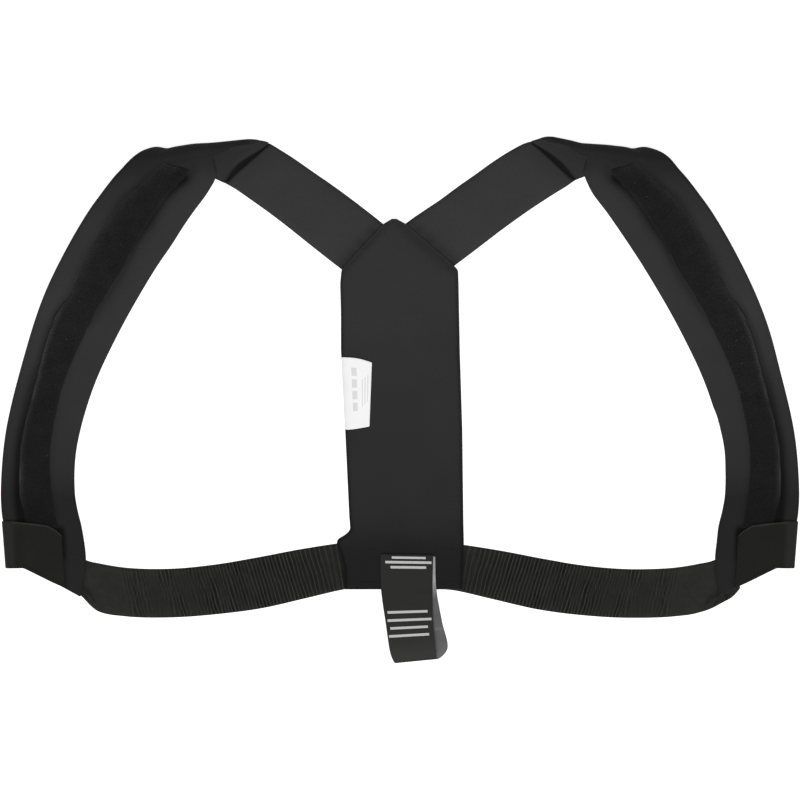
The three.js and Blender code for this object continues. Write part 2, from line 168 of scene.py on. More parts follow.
def speckle(finish, scale, detail, **more):
    sockets = {"Vector": on_object(finish), "Scale": scale, "Detail": detail, **more}
    return wire(finish, "TexNoise", sockets).outputs["Fac"]


def noted(finish, name):
    return wire(finish, "Attribute", {}, attribute_name=name).outputs["Fac"]


def reckon(finish, operation, *values):
    return wire(finish, "Math", dict(enumerate(values)), operation=operation).outputs[0]


def mix(finish, way, first, second, share=1.0):
    return wire(finish, "Mix", {0: share, 6: first, 7: second}, data_type="RGBA", blend_type=way).outputs[2]


def spread(finish, value, low, high):
    return wire(finish, "MapRange", {"Value": value, "To Min": low, "To Max": high}).outputs["Result"]


def bump(finish, height, strength, depth, **under):
    sockets = {"Strength": strength, "Distance": depth, "Height": height, **under}
    return wire(finish, "Bump", sockets).outputs["Normal"]


print("parts of a finish ready")

# %% [markdown]
# ## Floor
# The brace lies on white paper that the photograph shows as pure white. A white floor under this light
# would come out grey, and more light would wash out the cloth, so the paper glows a little by itself.

# %% Floor
PAPER_GLOW = 0.85
bpy.ops.mesh.primitive_plane_add(size=14, location=(0, 0, -0.0003))
floor = bpy.context.object
floor.name = "floor"
bpy.ops.object.transform_apply(location=True, rotation=True, scale=True)
paper, shader = new_finish("white_paper", roughness=0.9, specular=0.1)
fibre = speckle(paper, scale=60.0, detail=3.0)
feed(paper, shader, Base_Color=grey_ramp(paper, fibre, (0.3, 0.40), (0.7, 0.43)))
shader.inputs["Emission Color"].default_value = (1, 1, 1, 1)
shader.inputs["Emission Strength"].default_value = PAPER_GLOW
floor.data.materials.append(paper)
print("floor laid")

# %% [markdown]
# ## The padded cloth's finish
# Panel, yokes and shoulder pads are one cloth: foam faced with a fine black knit, matt with a faint bloom.
# Its stitches are columns of small Vs, so two sine ridges on the cloth's own UV map, which is in metres,
# are bumped, and a slow noise on Object coordinates varies the dye. An attribute paints shade into the
# colour where shade falls: on the shoulder folds, along seams, edges and the tape, and down the panel.

# %% Knit-faced foam
STITCH_SLANT = 1.4


def knit_height(finish, course, wale):
    lengths = on_cloth(finish)
    along = reckon(finish, "MULTIPLY", lengths["X"], math.tau / course)
    columns = reckon(finish, "SINE", reckon(finish, "MULTIPLY", lengths["Y"], math.tau / wale))
    stitches = reckon(finish, "SINE", reckon(finish, "MULTIPLY_ADD", columns, STITCH_SLANT, along))
    return reckon(finish, "ADD", columns, stitches)


knit_foam, shader = new_finish("knit_foam", roughness=0.86, specular=0.10, sheen=0.03)
dye = speckle(knit_foam, scale=28.0, detail=4.0, Roughness=0.6)
fluff = speckle(knit_foam, scale=900.0, detail=2.0)
dye_grey = grey_ramp(knit_foam, dye, (0.3, 0.0258), (0.7, 0.0288))
fluff_grey = grey_ramp(knit_foam, fluff, (0.3, 0.93), (0.75, 1.08))
# painted shade: the attribute darkens the knit where shade falls, on the shoulder folds, seams, edges and
# beside the tape
painted_shade_grey = grey_ramp(knit_foam, noted(knit_foam, "painted_shade"), (0.0, 1.0), (1.0, 0.0))
shaded = mix(knit_foam, "MULTIPLY", mix(knit_foam, "MULTIPLY", dye_grey, fluff_grey), painted_shade_grey)
knit_bump = bump(knit_foam, knit_height(knit_foam, course=0.0011, wale=0.0009), strength=0.25, depth=0.00012)
fluff_bump = bump(knit_foam, fluff, strength=0.3, depth=0.0002, Normal=knit_bump)
nap = spread(knit_foam, dye, low=0.74, high=0.9)
feed(knit_foam, shader, Base_Color=shaded, Roughness=nap, Normal=fluff_bump)
print("finish:", knit_foam.name)

# %% [markdown]
# ## Cloth strips: a grid laid on a route
# Each soft piece starts as a flat grid. A route says where a point of the cloth goes, from its row along
# the pattern's table and its share across, and the grid's points are moved there at even steps. Edges run
# smoothly through the table's rows. The UV map keeps the cloth's real lengths for the weave.

# %% Curves and fades
def ramp(value, start, end):
    """0 before start, 1 past end, and smooth between them."""
    t = np.clip((np.asarray(value, float) - start) / (end - start), 0, 1)
    return t * t * (3 - 2 * t)


def bell(distance, reach):
    """1 at no distance, fading smoothly over the reach."""
    return np.exp(-((distance / reach) ** 2))


def blend(start, end, share):
    return start + (end - start) * np.asarray(share)[..., None]


def ripple(places, size, seed):
    """A slow unevenness between about -1 and 1, one value for each place; size is in the places' unit."""
    lift = Vector((seed * 7.3, seed * 3.1, seed * 5.7))
    return np.array([noise.noise(Vector(place) / size + lift) for place in places])


print("curves and fades ready")

# %% Route helpers
def smooth_edge(points):
    """A smooth line through a table's points, read at any row."""
    points = np.array(points, float)
    ends = np.vstack([2 * points[0] - points[1], points, 2 * points[-1] - points[-2]])

    def edge(row):
        row = np.clip(np.asarray(row, float), 0, len(points) - 1)
        first = np.minimum(row.astype(int), len(points) - 2)
        t = (row - first)[..., None]
        p0, p1, p2, p3 = (ends[first + k] for k in range(4))
        spans = ((p0, p1), (p1, p2), (p2, p3))
        d0, d1, d2 = (np.sqrt(np.linalg.norm(b - a, axis=-1))[..., None] for a, b in spans)
        m1 = ((p1 - p0) / d0 - (p2 - p0) / (d0 + d1) + (p2 - p1) / d1) * d1
        m2 = ((p2 - p1) / d1 - (p3 - p1) / (d1 + d2) + (p3 - p2) / d2) * d1
        bend = (2 * p1 - 2 * p2 + m1 + m2) * t**3 + (3 * p2 - 3 * p1 - 2 * m1 - m2) * t**2
        return p1 + m1 * t + bend

    return edge


def facing(route, row, across, step=1e-3):
    along = route(row + step, across) - route(row - step, across)
    sideways = route(row, across + step) - route(row, across - step)
    normal = np.cross(along, sideways)
    return normal / np.linalg.norm(normal, axis=1)[:, None]


print("route helpers ready")

# %% Helpers for points
def select_only(piece):
    bpy.ops.object.select_all(action="DESELECT")
    piece.select_set(True)
    bpy.context.view_layer.objects.active = piece


def read_points(piece):
    points = np.empty(len(piece.data.vertices) * 3)
    piece.data.vertices.foreach_get("co", points)
    return points.reshape(-1, 3)


def move_points(piece, places):
    piece.data.vertices.foreach_set("co", np.ascontiguousarray(places, dtype=np.float32).ravel())
    piece.data.update()


def in_pattern(piece):
    """A piece's points in the pattern's millimetres."""
    return read_points(piece) / MM - PATTERN_SHIFT


def from_pattern(piece, places):
    move_points(piece, (places + PATTERN_SHIFT) * MM)


def note_on_points(piece, name, values):
    """Keep a number at each point for a finish to read; a thickened piece has each number on both faces."""
    attribute = piece.data.attributes.new(name, "FLOAT", "POINT")
    attribute.data.foreach_set("value", np.asarray(values, np.float32))


def twice(values):
    """Values of a grid's points for both faces of the thickened grid."""
    return np.r_[values, values]


print("helpers for points ready")

# %% Strip helper
ROUTE_STEPS = 1500


def walk(line):
    """How far each point of a line is from its start."""
    return np.r_[0, np.cumsum(np.linalg.norm(np.diff(line, axis=0), axis=1))]


def gather_to_ends(share, amount):
    return (1 - amount) * share + amount * (0.5 - 0.5 * np.cos(np.pi * share))


def cloth_strip(name, route, first, last, along, across, edge_gather=0.6, end_gather=0.0, allowance=(0, 0)):
    """A grid on a route. Returns the piece and, for each point, where it lies on the cloth, in mm.

    The allowance, in mm, widens the strip at each side by what rounding the edge takes away."""
    bpy.ops.mesh.primitive_grid_add(x_subdivisions=along, y_subdivisions=across, size=1)
    strip = bpy.context.object
    strip.name = strip.data.name = name
    flat = read_points(strip)
    lengthways = gather_to_ends(flat[:, 0] + 0.5, end_gather)
    sideways = gather_to_ends(flat[:, 1] + 0.5, edge_gather)
    fine = np.linspace(first, last, ROUTE_STEPS)
    middle = route(fine, np.full(ROUTE_STEPS, 0.5))
    walked = walk(middle)
    row = np.interp(lengthways * walked[-1], walked, fine)
    width = np.linalg.norm(route(row, np.ones(len(row))) - route(row, np.zeros(len(row))), axis=1)
    from_side = sideways * (width + sum(allowance))
    from_other = (1 - sideways) * (width + sum(allowance))
    sideways = (from_side - allowance[0]) / width
    move_points(strip, (route(row, sideways) + PATTERN_SHIFT) * MM)
    corner = np.empty(len(strip.data.loops), int)
    strip.data.loops.foreach_get("vertex_index", corner)
    cloth_uv = np.column_stack([lengthways * walked[-1], sideways * width.mean()])[corner] * MM
    strip.data.uv_layers[0].data.foreach_set("uv", cloth_uv.astype(np.float32).ravel())
    lie = {
        "row": row, "across": sideways, "width": width, "length": walked[-1],
        "edge": np.minimum(from_side, from_other),
        "head": lengthways * walked[-1], "tail": (1 - lengthways) * walked[-1],
    }
    return strip, lie


print("strip helper ready")

# %% Thickness helpers
def rounded(distance, radius, least=0.12):
    """Share of the full thickness at a distance from an edge that is rounded off."""
    inside = 1 - np.clip(distance / radius, 0, 1)
    return np.maximum(least, np.sqrt(1 - inside**2))


def weigh(piece, name, shares):
    group = piece.vertex_groups.new(name=name)
    for point, share in enumerate(shares):
        group.add([point], float(share), "REPLACE")


def thicken(piece, thick, shares, side):
    """Solidify to thick mm times each point's share: side -1 is below the cloth, 0 both sides, 1 above."""
    weigh(piece, "thickness", np.clip(shares, 0, 1))
    select_only(piece)
    solid = piece.modifiers.new("thickness", "SOLIDIFY")
    solid.thickness = thick * MM
    solid.offset = side
    solid.vertex_group = "thickness"
    bpy.ops.object.modifier_apply(modifier="thickness")


def smooth_over(piece, levels=1):
    select_only(piece)
    soften = piece.modifiers.new("softening", "SUBSURF")
    soften.levels = soften.render_levels = levels
    bpy.ops.object.modifier_apply(modifier="softening")
    bpy.ops.object.shade_smooth()


def upper_face(piece, count, route, lie):
    """Which points of a thickened strip are on the face that its route looks out of."""
    points = read_points(piece)
    outward = facing(route, lie["row"], lie["across"])
    first = ((points[:count] - points[count : 2 * count]) * outward).sum(axis=1).mean() > 0
    return np.r_[np.full(count, first), np.full(len(points) - count, not first)]


print("thickness helpers ready")

# %% [markdown]
# ## Padding with a cloth simulation
# Padded fabric swells between the lines where it is sewn down. Cloth with a little pressure does that: the
# seams, the underside and the stitched channels are pinned, gravity is off, and twenty frames are enough. A
# soft cap keeps the swelling small, so each piece stays in its place.

# %% Padding helper
PUFF_FRAMES = 20


def pins(upper, *sewn):
    """How firmly each point is held: the underside fully, the upper face by what sews it down the most."""
    return np.where(upper, np.clip(twice(np.maximum.reduce(sewn)), 0, 1), 1.0)


def puff_up(piece, held, pressure, most):
    """Swell a piece by at most so many mm; returns how far it would have gone."""
    before = read_points(piece)
    weigh(piece, "sewn_down", held)
    select_only(piece)
    padding = piece.modifiers.new("padding", "CLOTH")
    settings = padding.settings
    settings.quality = 4
    settings.mass = 0.3
    settings.tension_stiffness = settings.compression_stiffness = 12
    settings.shear_stiffness = 6
    settings.bending_stiffness = 0.4
    settings.vertex_group_mass = "sewn_down"
    settings.use_pressure = True
    settings.uniform_pressure_force = pressure
    settings.effector_weights.gravity = 0
    padding.collision_settings.use_collision = False
    padding.point_cache.frame_start, padding.point_cache.frame_end = 1, PUFF_FRAMES
    for frame_number in range(1, PUFF_FRAMES + 1):
        scene.frame_set(frame_number)
    bpy.ops.object.modifier_apply(modifier="padding")
    moved = read_points(piece) - before
    far = np.linalg.norm(moved, axis=1)
    capped = most * MM * np.tanh(far / (most * MM)) / np.maximum(far, 1e-9)
    move_points(piece, before + moved * capped[:, None])
    scene.frame_set(1)
    return far.max() / MM


print("simulation", "on")

# %% [markdown]
# ## Back panel
# The panel is a strip of padded knit with a peaked top and a thin sewn hem. It could be a bevelled box, but
# its side edges are rolled and its thickness changes along its length. A grid on the pattern's sections is
# thickened by how far each point is from the outline, which gives the rolled edge, and then puffed.

# %% Panel pattern
PANEL = [  # y, left edge, right edge
    (145.0, -5.6, -4.0), (143.2, -8.4, -0.8), (141.0, -12.4, 3.6), (128.0, -24.4, 18.6),
    (110.6, -40.6, 39.0), (104.0, -46.0, 45.4), (93.0, -47.0, 45.8), (70.0, -46.4, 46.2),
    (52.0, -46.4, 46.6), (40.0, -46.4, 46.8), (-24.0, -43.0, 48.8), (-92.0, -39.8, 49.6),
    (-104.0, -38.9, 49.8), (-107.4, -42.2, 49.9), (-111.6, -49.4, 50.0), (-116.0, -49.8, 50.0),
    (-122.0, -46.8, 49.8), (-134.0, -44.0, 49.6), (-151.6, -43.2, 48.8),
]
PANEL_THICK = 4.7
PEAK_LIFT, HEM_LIFT = 2.45, 2.1  # over the yokes and over the elastics


def column(table, row):
    """Each column of a table, read straight between its rows."""
    rows = np.arange(len(table))
    return [np.interp(row, rows, values) for values in np.array(table, float).T]


def panel_route(row, across):
    y, left, right = column(PANEL, row)
    lift = PEAK_LIFT * ramp(y, 34, 80) + HEM_LIFT * ramp(-y, 92, 120)
    return np.column_stack([left + (right - left) * across, y, lift])


def outline_distance(places, outline):
    """Distance in mm from each place to the nearest side of a closed outline, in plan."""
    nearest = np.full(len(places), 1e9)
    for a, b in zip(outline, np.roll(outline, -1, axis=0)):
        along = np.clip(((places - a) @ (b - a)) / ((b - a) @ (b - a)), 0, 1)
        nearest = np.minimum(nearest, np.linalg.norm(places - a - along[:, None] * (b - a), axis=1))
    return nearest


sections = np.array(PANEL)
outline = np.vstack([sections[:, [1, 0]], sections[::-1][:, [2, 0]]])
print("panel:", round(np.ptp(sections[:, 0]), 1), "mm long")

# %% Panel cloth
panel, lie = cloth_strip(
    "padded_panel", panel_route, 0, len(PANEL) - 1, along=150, across=36,
    edge_gather=0.8, end_gather=0.3, allowance=(0.9, 1.1),
)
flat = panel_route(lie["row"], lie["across"])
edge = outline_distance(flat[:, :2], outline)
down = -flat[:, 1]
in_hem = ramp(down, 100, 122)
on_peak = ramp(flat[:, 1], 98, 108)
on_left = ramp(-flat[:, 0], 0, 12)
pucker = on_peak * bell(edge, 6.0) * (0.55 + 0.6 * ripple(flat, 6.5, 21))
print("panel:", len(flat), "points a face, cloth", round(lie["length"], 1), "mm long")

# %% Panel tone and thickness
# painted shade: the panel is painted darker down its length, darkest on the hem
PANEL_TONE = [  # mm down the panel, how dark
    (-145, 0.20), (-100, 0.22), (0, 0.35), (85, 0.47), (100, 0.56), (118, 0.72), (150, 0.76),
]


def look_up(value, table):
    """The second column of a table, read straight between the places in its first."""
    return np.interp(value, *np.array(table, float).T)


tone = look_up(down, PANEL_TONE) + 0.05 * ripple(flat, 30, 22)
# painted shade along the rolled side edges and in the peak's puckers
tone += 0.22 * (1 - on_peak) * bell(edge, 1.3) + (0.17 - 0.09 * on_left) * pucker
note_on_points(panel, "painted_shade", np.clip(tone, 0, 0.9))
thick = 1 - 0.47 * ramp(down, 98, 124) - 0.25 * ramp(flat[:, 1], 120, 145)
rolled = rounded(edge, 4.5 - 2.7 * in_hem)
sloped = 0.12 + 0.88 * ramp(edge, -4, 9.5 - 3.2 * on_left)
thicken(panel, PANEL_THICK, thick * (rolled + (sloped - rolled) * on_peak) * (1 - 0.25 * pucker), side=1)
upper = upper_face(panel, len(flat), panel_route, lie)
print("panel tone from", tone.min().round(2), "to", tone.max().round(2))

# %% Panel padding
swell = puff_up(panel, pins(upper, 1 - edge / 3.0, in_hem, 1.2 * pucker), pressure=4, most=0.8)
places = read_points(panel)
soft = upper * twice(ramp(edge, 3, 14))
places[:, 2] += soft * MM * (0.5 * ripple(places / MM, 48, 1) + 0.16 * ripple(places / MM, 17, 2))
move_points(panel, places)
smooth_over(panel)
panel.data.materials.append(knit_foam)
print("panel swelled by", round(swell, 2), "mm before the cap;", len(panel.data.polygons), "faces")

# %% [markdown]
# ## Yoke straps
# Each yoke is a flat strap of the same cloth. It starts under the panel's peak and ends in the shoulder
# seam, where a thin tongue runs on under the pad. Near the shoulder's fold it leaves the table with the
# layer that it is sewn to, so the fold's crest and radius are set here.

# %% Shoulder fold
FOLD_CREST = np.array([(122.4, 206.1, 0.0), (201.6, 197.8, 0.0)])  # inner and outer end of the fold in plan
FOLD_RADIUS = (4.0, 9.5)
crest_line = FOLD_CREST[1] - FOLD_CREST[0]
fold_out = np.array([-crest_line[1], crest_line[0], 0]) / np.linalg.norm(crest_line)


def fold_radius(across):
    return FOLD_RADIUS[0] + (FOLD_RADIUS[1] - FOLD_RADIUS[0]) * np.clip(across, 0, 1)


def lower_layer_rise(places):
    """How far the lower layer of the shoulder has left the table, nearing the fold."""
    from_crest = places - FOLD_CREST[0]
    radius = fold_radius(from_crest @ crest_line / (crest_line @ crest_line))
    beyond = np.clip(from_crest @ fold_out + radius, 0, radius)
    return radius - np.sqrt(radius**2 - beyond**2)


def crest_ruling(across):
    return blend(FOLD_CREST[0], FOLD_CREST[1], across)


print("fold crest", np.linalg.norm(crest_line).round(1), "mm long")

# %% Yoke pattern
YOKE = [  # upper x, upper y, lower x, lower y
    (8.0, 136.2, 8.0, 78.6), (20.0, 146.0, 45.6, 105.6), (56.8, 173.6, 91.0, 140.8),
    (104.8, 204.6, 138.8, 175.0),
]
YOKE_SEAM = len(YOKE) - 1
YOKE_THICK, TONGUE_THICK, TONGUE_REACH = 3.5, 1.5, 0.2


def two_edges(table, *heights):
    """Both edges of a table whose rows start with two places in plan; heights say which columns lift them."""
    rows = np.array(table, float)
    lifts = [rows[:, height] for height in heights] or [np.zeros(len(rows))] * 2
    return [smooth_edge(np.column_stack([rows[:, 2 * k : 2 * k + 2], lifts[k]])) for k in (0, 1)]


def route_between(start, end):
    return lambda row, across: blend(start(row), end(row), across)


yoke_upper, yoke_lower = two_edges(YOKE)
yoke_strap = route_between(yoke_lower, yoke_upper)


def seam_line(across):
    return blend(np.array([*YOKE[-1][:2], 0.0]), np.array([*YOKE[-1][2:], 0.0]), across)


def yoke_route(row, across):
    seam = seam_line(1 - across)
    tongue = blend(seam, crest_ruling(1 - across), (row - YOKE_SEAM) * TONGUE_REACH)
    places = np.where((row <= YOKE_SEAM)[:, None], yoke_strap(row, across), tongue)
    places[:, 2] = lower_layer_rise(places)
    return places


seam_ends = seam_line(np.array([0.0, 1.0]))
print("yoke seam", np.linalg.norm(seam_ends[1] - seam_ends[0]).round(1), "mm wide")

# %% Yoke cloth
PEAK_SIDE = np.array([(4.0, 141.0), (45.4, 104.0)])  # the panel's slanted edge on the right
ROW_LENGTH = 56  # mm of strap to a row of the pattern, near the seam
# painted shade: darker near the shoulder seam and again near the peak
YOKE_TONE = [(0, 0.2), (12, 0.12), (30, 0.03), (90, 0.05), (130, 0.11)]  # mm from the seam, how dark
yoke, lie = cloth_strip(
    "yoke_strap_cloth_right", yoke_route, 0, YOKE_SEAM + 1, along=110, across=20,
    edge_gather=0.8, allowance=(0.9, 0.9),
)
flat = yoke_route(lie["row"], lie["across"])
peak_run = (PEAK_SIDE[1] - PEAK_SIDE[0]) / np.linalg.norm(PEAK_SIDE[1] - PEAK_SIDE[0])
past_peak = (flat[:, :2] - PEAK_SIDE[0]) @ np.array([-peak_run[1], peak_run[0]])
on_tongue = lie["row"] > YOKE_SEAM - 0.012
to_seam = np.clip((YOKE_SEAM - lie["row"]) * ROW_LENGTH, 0, 99)
# painted shade: a dark line along the seam's slit, dark rolled edges, and the tongue painted dark where it
# shows in the slit
tone = look_up(to_seam, YOKE_TONE) + 0.3 * bell(to_seam, 1.4)
tone += 0.2 * bell(lie["edge"], 1.1) + 0.05 * ripple(flat, 24, 24)
note_on_points(yoke, "painted_shade", np.where(on_tongue, 0.85, np.clip(tone, 0, 0.9)))
thicken(yoke, YOKE_THICK, np.where(on_tongue, TONGUE_THICK / YOKE_THICK, rounded(lie["edge"], 3.2)), side=1)
upper = upper_face(yoke, len(flat), yoke_route, lie)
print("yoke:", len(flat), "points a face")

# %% Yoke padding
held = pins(upper, 1 - lie["edge"] / 2.5, 1 - to_seam / 4, 1 - ramp(past_peak, 2, 9), 1.0 * on_tongue)
swell = puff_up(yoke, held, pressure=4, most=0.7)
places = read_points(yoke)
soft = upper * twice(ramp(lie["edge"], 2, 9) * ramp(past_peak, 4, 14))
places[:, 2] += soft * MM * 0.3 * ripple(places / MM, 26, 3)
move_points(yoke, places)
smooth_over(yoke)
yoke.data.materials.append(knit_foam)
print("yoke swelled by", round(swell, 2), "mm before the cap;", len(yoke.data.polygons), "faces")

# %% [markdown]
# ## Shoulder pads
# A shoulder pad starts at the yoke's seam, lies face down, folds over at the shoulder and comes back on top
# as the long strap. One grid follows the whole route, so the fold has no seam. Rows from -2 to -1 are the
# lower layer, from -1 to 0 the fold, and from 0 on the strap. The loop tape is sewn along its middle, which
# leaves a channel at each side of the tape with the padding swelling beside it.

# %% Pad pattern
PAD = [  # inner x, inner y, outer x, outer y, inner lift, outer lift
    (136.8, 201.2, 220.0, 186.4, 7.4, 19.0), (149.4, 193.2, 227.2, 179.2, 4.8, 18.6),
    (147.8, 181.0, 232.8, 172.4, 3.9, 17.6), (153.6, 168.0, 239.2, 164.0, 3.7, 16.0),
    (169.2, 146.4, 249.6, 149.6, 3.4, 12.6), (196.0, 106.4, 268.4, 117.6, 2.3, 6.0),
    (226.0, 54.4, 285.6, 81.6, 0.6, 1.2), (247.2, 8.0, 300.8, 34.4, 0.0, 0.0),
    (260.0, -40.0, 315.3, -25.6, 0.0, 0.0), (261.2, -74.0, 319.2, -70.0, 0.0, 0.0),
    (258.8, -89.0, 318.7, -87.6, 1.2, 1.2), (255.6, -102.0, 317.3, -97.2, 2.4, 2.4),
    (252.2, -129.6, 312.8, -110.5, 2.4, 2.4), (256.6, -157.0, 311.0, -127.4, 2.4, 2.4),
]
PAD_THICK = 5.0
PAD_END = len(PAD) - 1
pad_inner, pad_outer = two_edges(PAD, 4, 5)
pad_strap = route_between(pad_inner, pad_outer)


def strap_route(row, across):
    strap = pad_strap(row, across)
    strap[:, 2] = (strap[:, 2] + np.hypot(strap[:, 2], 0.3)) / 2 + PAD_THICK / 2
    strap[:, 2] -= 1.0 * bell(row - 1.7, 1.2) * (1 - ramp(across, 0, 0.12)) * ramp(row, 0, 0.8)
    return strap


def fold_route(row, across):
    turned = np.clip(row + 1, 0, 1)
    angle = np.pi / 2 * (1 + turned)
    radius = fold_radius(across)
    axis = crest_ruling(across) - fold_out * radius[:, None]
    top = pad_strap(0 * row, across)
    top[:, 2] = 0
    fold = blend(axis, top, turned) + fold_out * (radius * np.sin(angle))[:, None]
    dent = 1.3 * bell(across - 0.79, 0.045) - 1.7 * bell(across - 0.90, 0.06)
    fold -= fold_out * (dent * np.sin(angle))[:, None]
    fold[:, 2] = PAD_THICK / 2 + radius * (1 - np.cos(angle))
    return fold


print("pad pattern:", len(PAD), "sections")

# %% Pad's lower layer and whole route
SEAM_BOW = 3.5


def lap_rise(row):
    """The pad's first rows lie over the yoke's tongue."""
    return (TONGUE_THICK + 0.3) * (1 - ramp(row, -1.82, -1.72))


def lower_layer_route(row, across):
    between = np.clip(across, 0, 1)
    start = 0.02 + 0.025 * bell(between, 0.03)
    share = start + (1 - start) * np.sin(np.clip(row + 2, 0, 1) * np.pi / 2)
    seam, crest = seam_line(across), crest_ruling(across)
    inward = (crest - seam) / np.linalg.norm(crest - seam, axis=1)[:, None]
    bow = SEAM_BOW * np.sin(np.pi * between**1.15) ** 1.3 * (1 - ramp(share, 0, 0.5))
    fuller = 1.9 * 4 * share * (1 - share) * (1 - between) ** 6
    lower = blend(seam, crest, share) + inward * bow[:, None]
    sewn_flat = (0.9 + 0.7 * bell(between, 0.04)) * (1 - ramp(share, 0.02, 0.12))
    lower[:, 2] = lower_layer_rise(lower) + (PAD_THICK + lap_rise(row)) / 2 - sewn_flat
    return lower + fold_out * fuller[:, None]


def pad_route(row, across):
    over = np.where((row >= -1)[:, None], fold_route(row, across), lower_layer_route(row, across))
    return np.where((row >= 0)[:, None], strap_route(row, across), over)


print("seam bowed by", SEAM_BOW, "mm")

# %% Tape's place on the pad
TAPE = [  # outer x, outer y, inner x, inner y, in plan
    (188.8, 189.6, 168.0, 184.0), (200.0, 179.2, 177.6, 172.8), (212.0, 168.0, 189.6, 160.8),
    (224.0, 156.8, 202.4, 141.6), (236.8, 137.6, 212.8, 124.8), (248.8, 117.6, 223.2, 103.2),
    (263.2, 85.6, 242.4, 72.8), (275.0, 67.0, 252.8, 51.2), (284.0, 41.6, 261.6, 32.8),
    (291.5, 11.4, 271.6, 5.6), (297.2, -10.4, 276.1, -15.2), (302.0, -32.0, 279.6, -35.2),
    (303.7, -51.2, 280.0, -51.2), (303.7, -73.6, 278.8, -73.6), (299.6, -94.4, 275.2, -95.2),
    (298.4, -101.6, 274.0, -102.4),
]
TAPE_END = len(TAPE) - 1
tape_outer, tape_inner = two_edges(TAPE)


def past_tape(places, edge, other):
    """How far places lie outside one edge of the tape, in plan, and the tape's row there."""
    rows = np.linspace(0, TAPE_END, 500)
    line, outward = edge(rows)[:, :2], (edge(rows) - other(rows))[:, :2]
    nearest = ((places[:, None, :2] - line[None]) ** 2).sum(axis=2).argmin(axis=1)
    gap = places[:, :2] - line[nearest]
    return np.linalg.norm(gap, axis=1) * np.sign((gap * outward[nearest]).sum(axis=1)), rows[nearest]


def lower_half(row):
    """0 along the tape's upper half and 1 along its lower half."""
    return ramp(row, 5.4, 7.2)


print("tape:", len(TAPE), "sections")

# %% Pad cloth
pad, lie = cloth_strip(
    "shoulder_pad_cloth_right", pad_route, -2, PAD_END, along=210, across=36,
    edge_gather=0.6, allowance=(1.3, 0.1),
)
row, across = lie["row"], lie["across"]
flat = pad_route(row, across)
past_outer, tape_row = past_tape(flat, tape_outer, tape_inner)
past_inner, _ = past_tape(flat, tape_inner, tape_outer)
tape_head = (tape_outer(0.0) + tape_inner(0.0)) / 2
tape_run = (tape_outer(0.6) + tape_inner(0.6)) / 2 - tape_head
below_head = (flat - tape_head) @ (tape_run / np.linalg.norm(tape_run))
has_tape = (row > 0) * ramp(below_head, -3, 3) * (1 - ramp(row, 12.2, 12.8))
low = lower_half(tape_row)
outer_channel = has_tape * bell(past_outer - 1.9, 2.3) * (0.3 + 0.7 * low)
inner_channel = has_tape * bell(past_inner - 0.8, 2.6) * (1 - 0.8 * low)
under_tape = has_tape * (past_outer < 0) * (past_inner < 0)
corner = bell(row - 1.3, 1.3) * (across < 0.4)
sewn_end = 1 - ramp(lie["tail"], 4, 34)
print("pad:", len(flat), "points a face, cloth", round(lie["length"], 1), "mm long")

# %% Pad tone
# painted shade along the pad: darkest on the fold's bend, which faces away from the light, lighter along the
# strap and darker again towards its end
INNER_TONE = [  # row, how dark
    (-2, 0.31), (-1.4, 0.30), (-1, 0.56), (-0.3, 0.63), (0.4, 0.60), (1.2, 0.48), (2, 0.29), (3, 0.19),
    (4, 0.20), (6.3, 0.23), (8, 0.32), (9.2, 0.61), (12, 0.66),
]
OUTER_TONE = [
    (-2, 0.32), (-1.4, 0.31), (-1, 0.56), (-0.3, 0.63), (0.4, 0.62), (1.2, 0.54), (2.2, 0.45), (3.5, 0.37),
    (5, 0.24), (6.2, 0.11), (7.6, 0.31), (9.2, 0.57), (13, 0.66),
]
TAB_EDGE = [(104, 270.3), (148, 267.2)]  # mm down the pad, x of the hook tab's free edge
inner_tone = look_up(row, INNER_TONE)
tone = inner_tone + (look_up(row, OUTER_TONE) - inner_tone) * ramp(across, 0.15, 0.5)
# painted shade on the rolled edges and in the slit at the pad's head; the ripple is uneven dye
tone += 0.04 * ripple(flat, 26, 25) + 0.17 * bell(lie["edge"], 1.1) * (1 - sewn_end) * (1 - 0.7 * corner)
tone += 0.3 * bell(lie["head"], 1.3)
down = -flat[:, 1]
# painted shadow cast on the pad by the hook tab's free edge
tab_gap = look_up(down, TAB_EDGE) - flat[:, 0]
beside_tab = ramp(down, 99, 105) * (1 - 0.8 * ramp(down, 118, 134)) * (row > 9)
tone += 0.45 * bell(np.maximum(tab_gap, 0), 2.4) * beside_tab
print("pad tone from", tone.min().round(2), "to", tone.max().round(2), "before the tape's shade")

# %% Shade beside the tape
outside_tape = has_tape * bell(np.maximum(past_outer, 0), 4.5) * (past_outer > 0) * (1 - low)
outer_shade = (0.30 + 0.14 * ramp(tape_row, 7, 11)) * outer_channel + 0.2 * outside_tape
tone += outer_shade * (1 - 0.5 * bell(tape_row - 4.3, 1.5)) * ramp(tape_row, 0, 2.2)
low_shade = 0.22 * ramp(tape_row, 8.2, 9) - 0.06 * ramp(tape_row, 9.4, 10.2) + 0.2 * ramp(tape_row, 13, 14)
tone += low_shade * bell(past_outer - 5.2, 2.8) * has_tape
beside_tape = has_tape * bell(np.maximum(past_inner, 0), 7.0) * (past_inner > 0) * (1 - low)
tone += 0.38 * inner_channel * (1 - 0.55 * bell(tape_row - 5.2, 0.9)) + 0.17 * beside_tape
tone += 0.26 * bell(past_inner - 3, 4.5) * bell(below_head, 9) * (row > 0)
tone += 0.14 * bell(past_inner - 4, 4) * bell(tape_row - 2.5, 1.1) * has_tape
note_on_points(pad, "painted_shade", np.clip(tone, 0, 0.96))
print("pad tone up to", tone.max().round(2), "beside the tape")

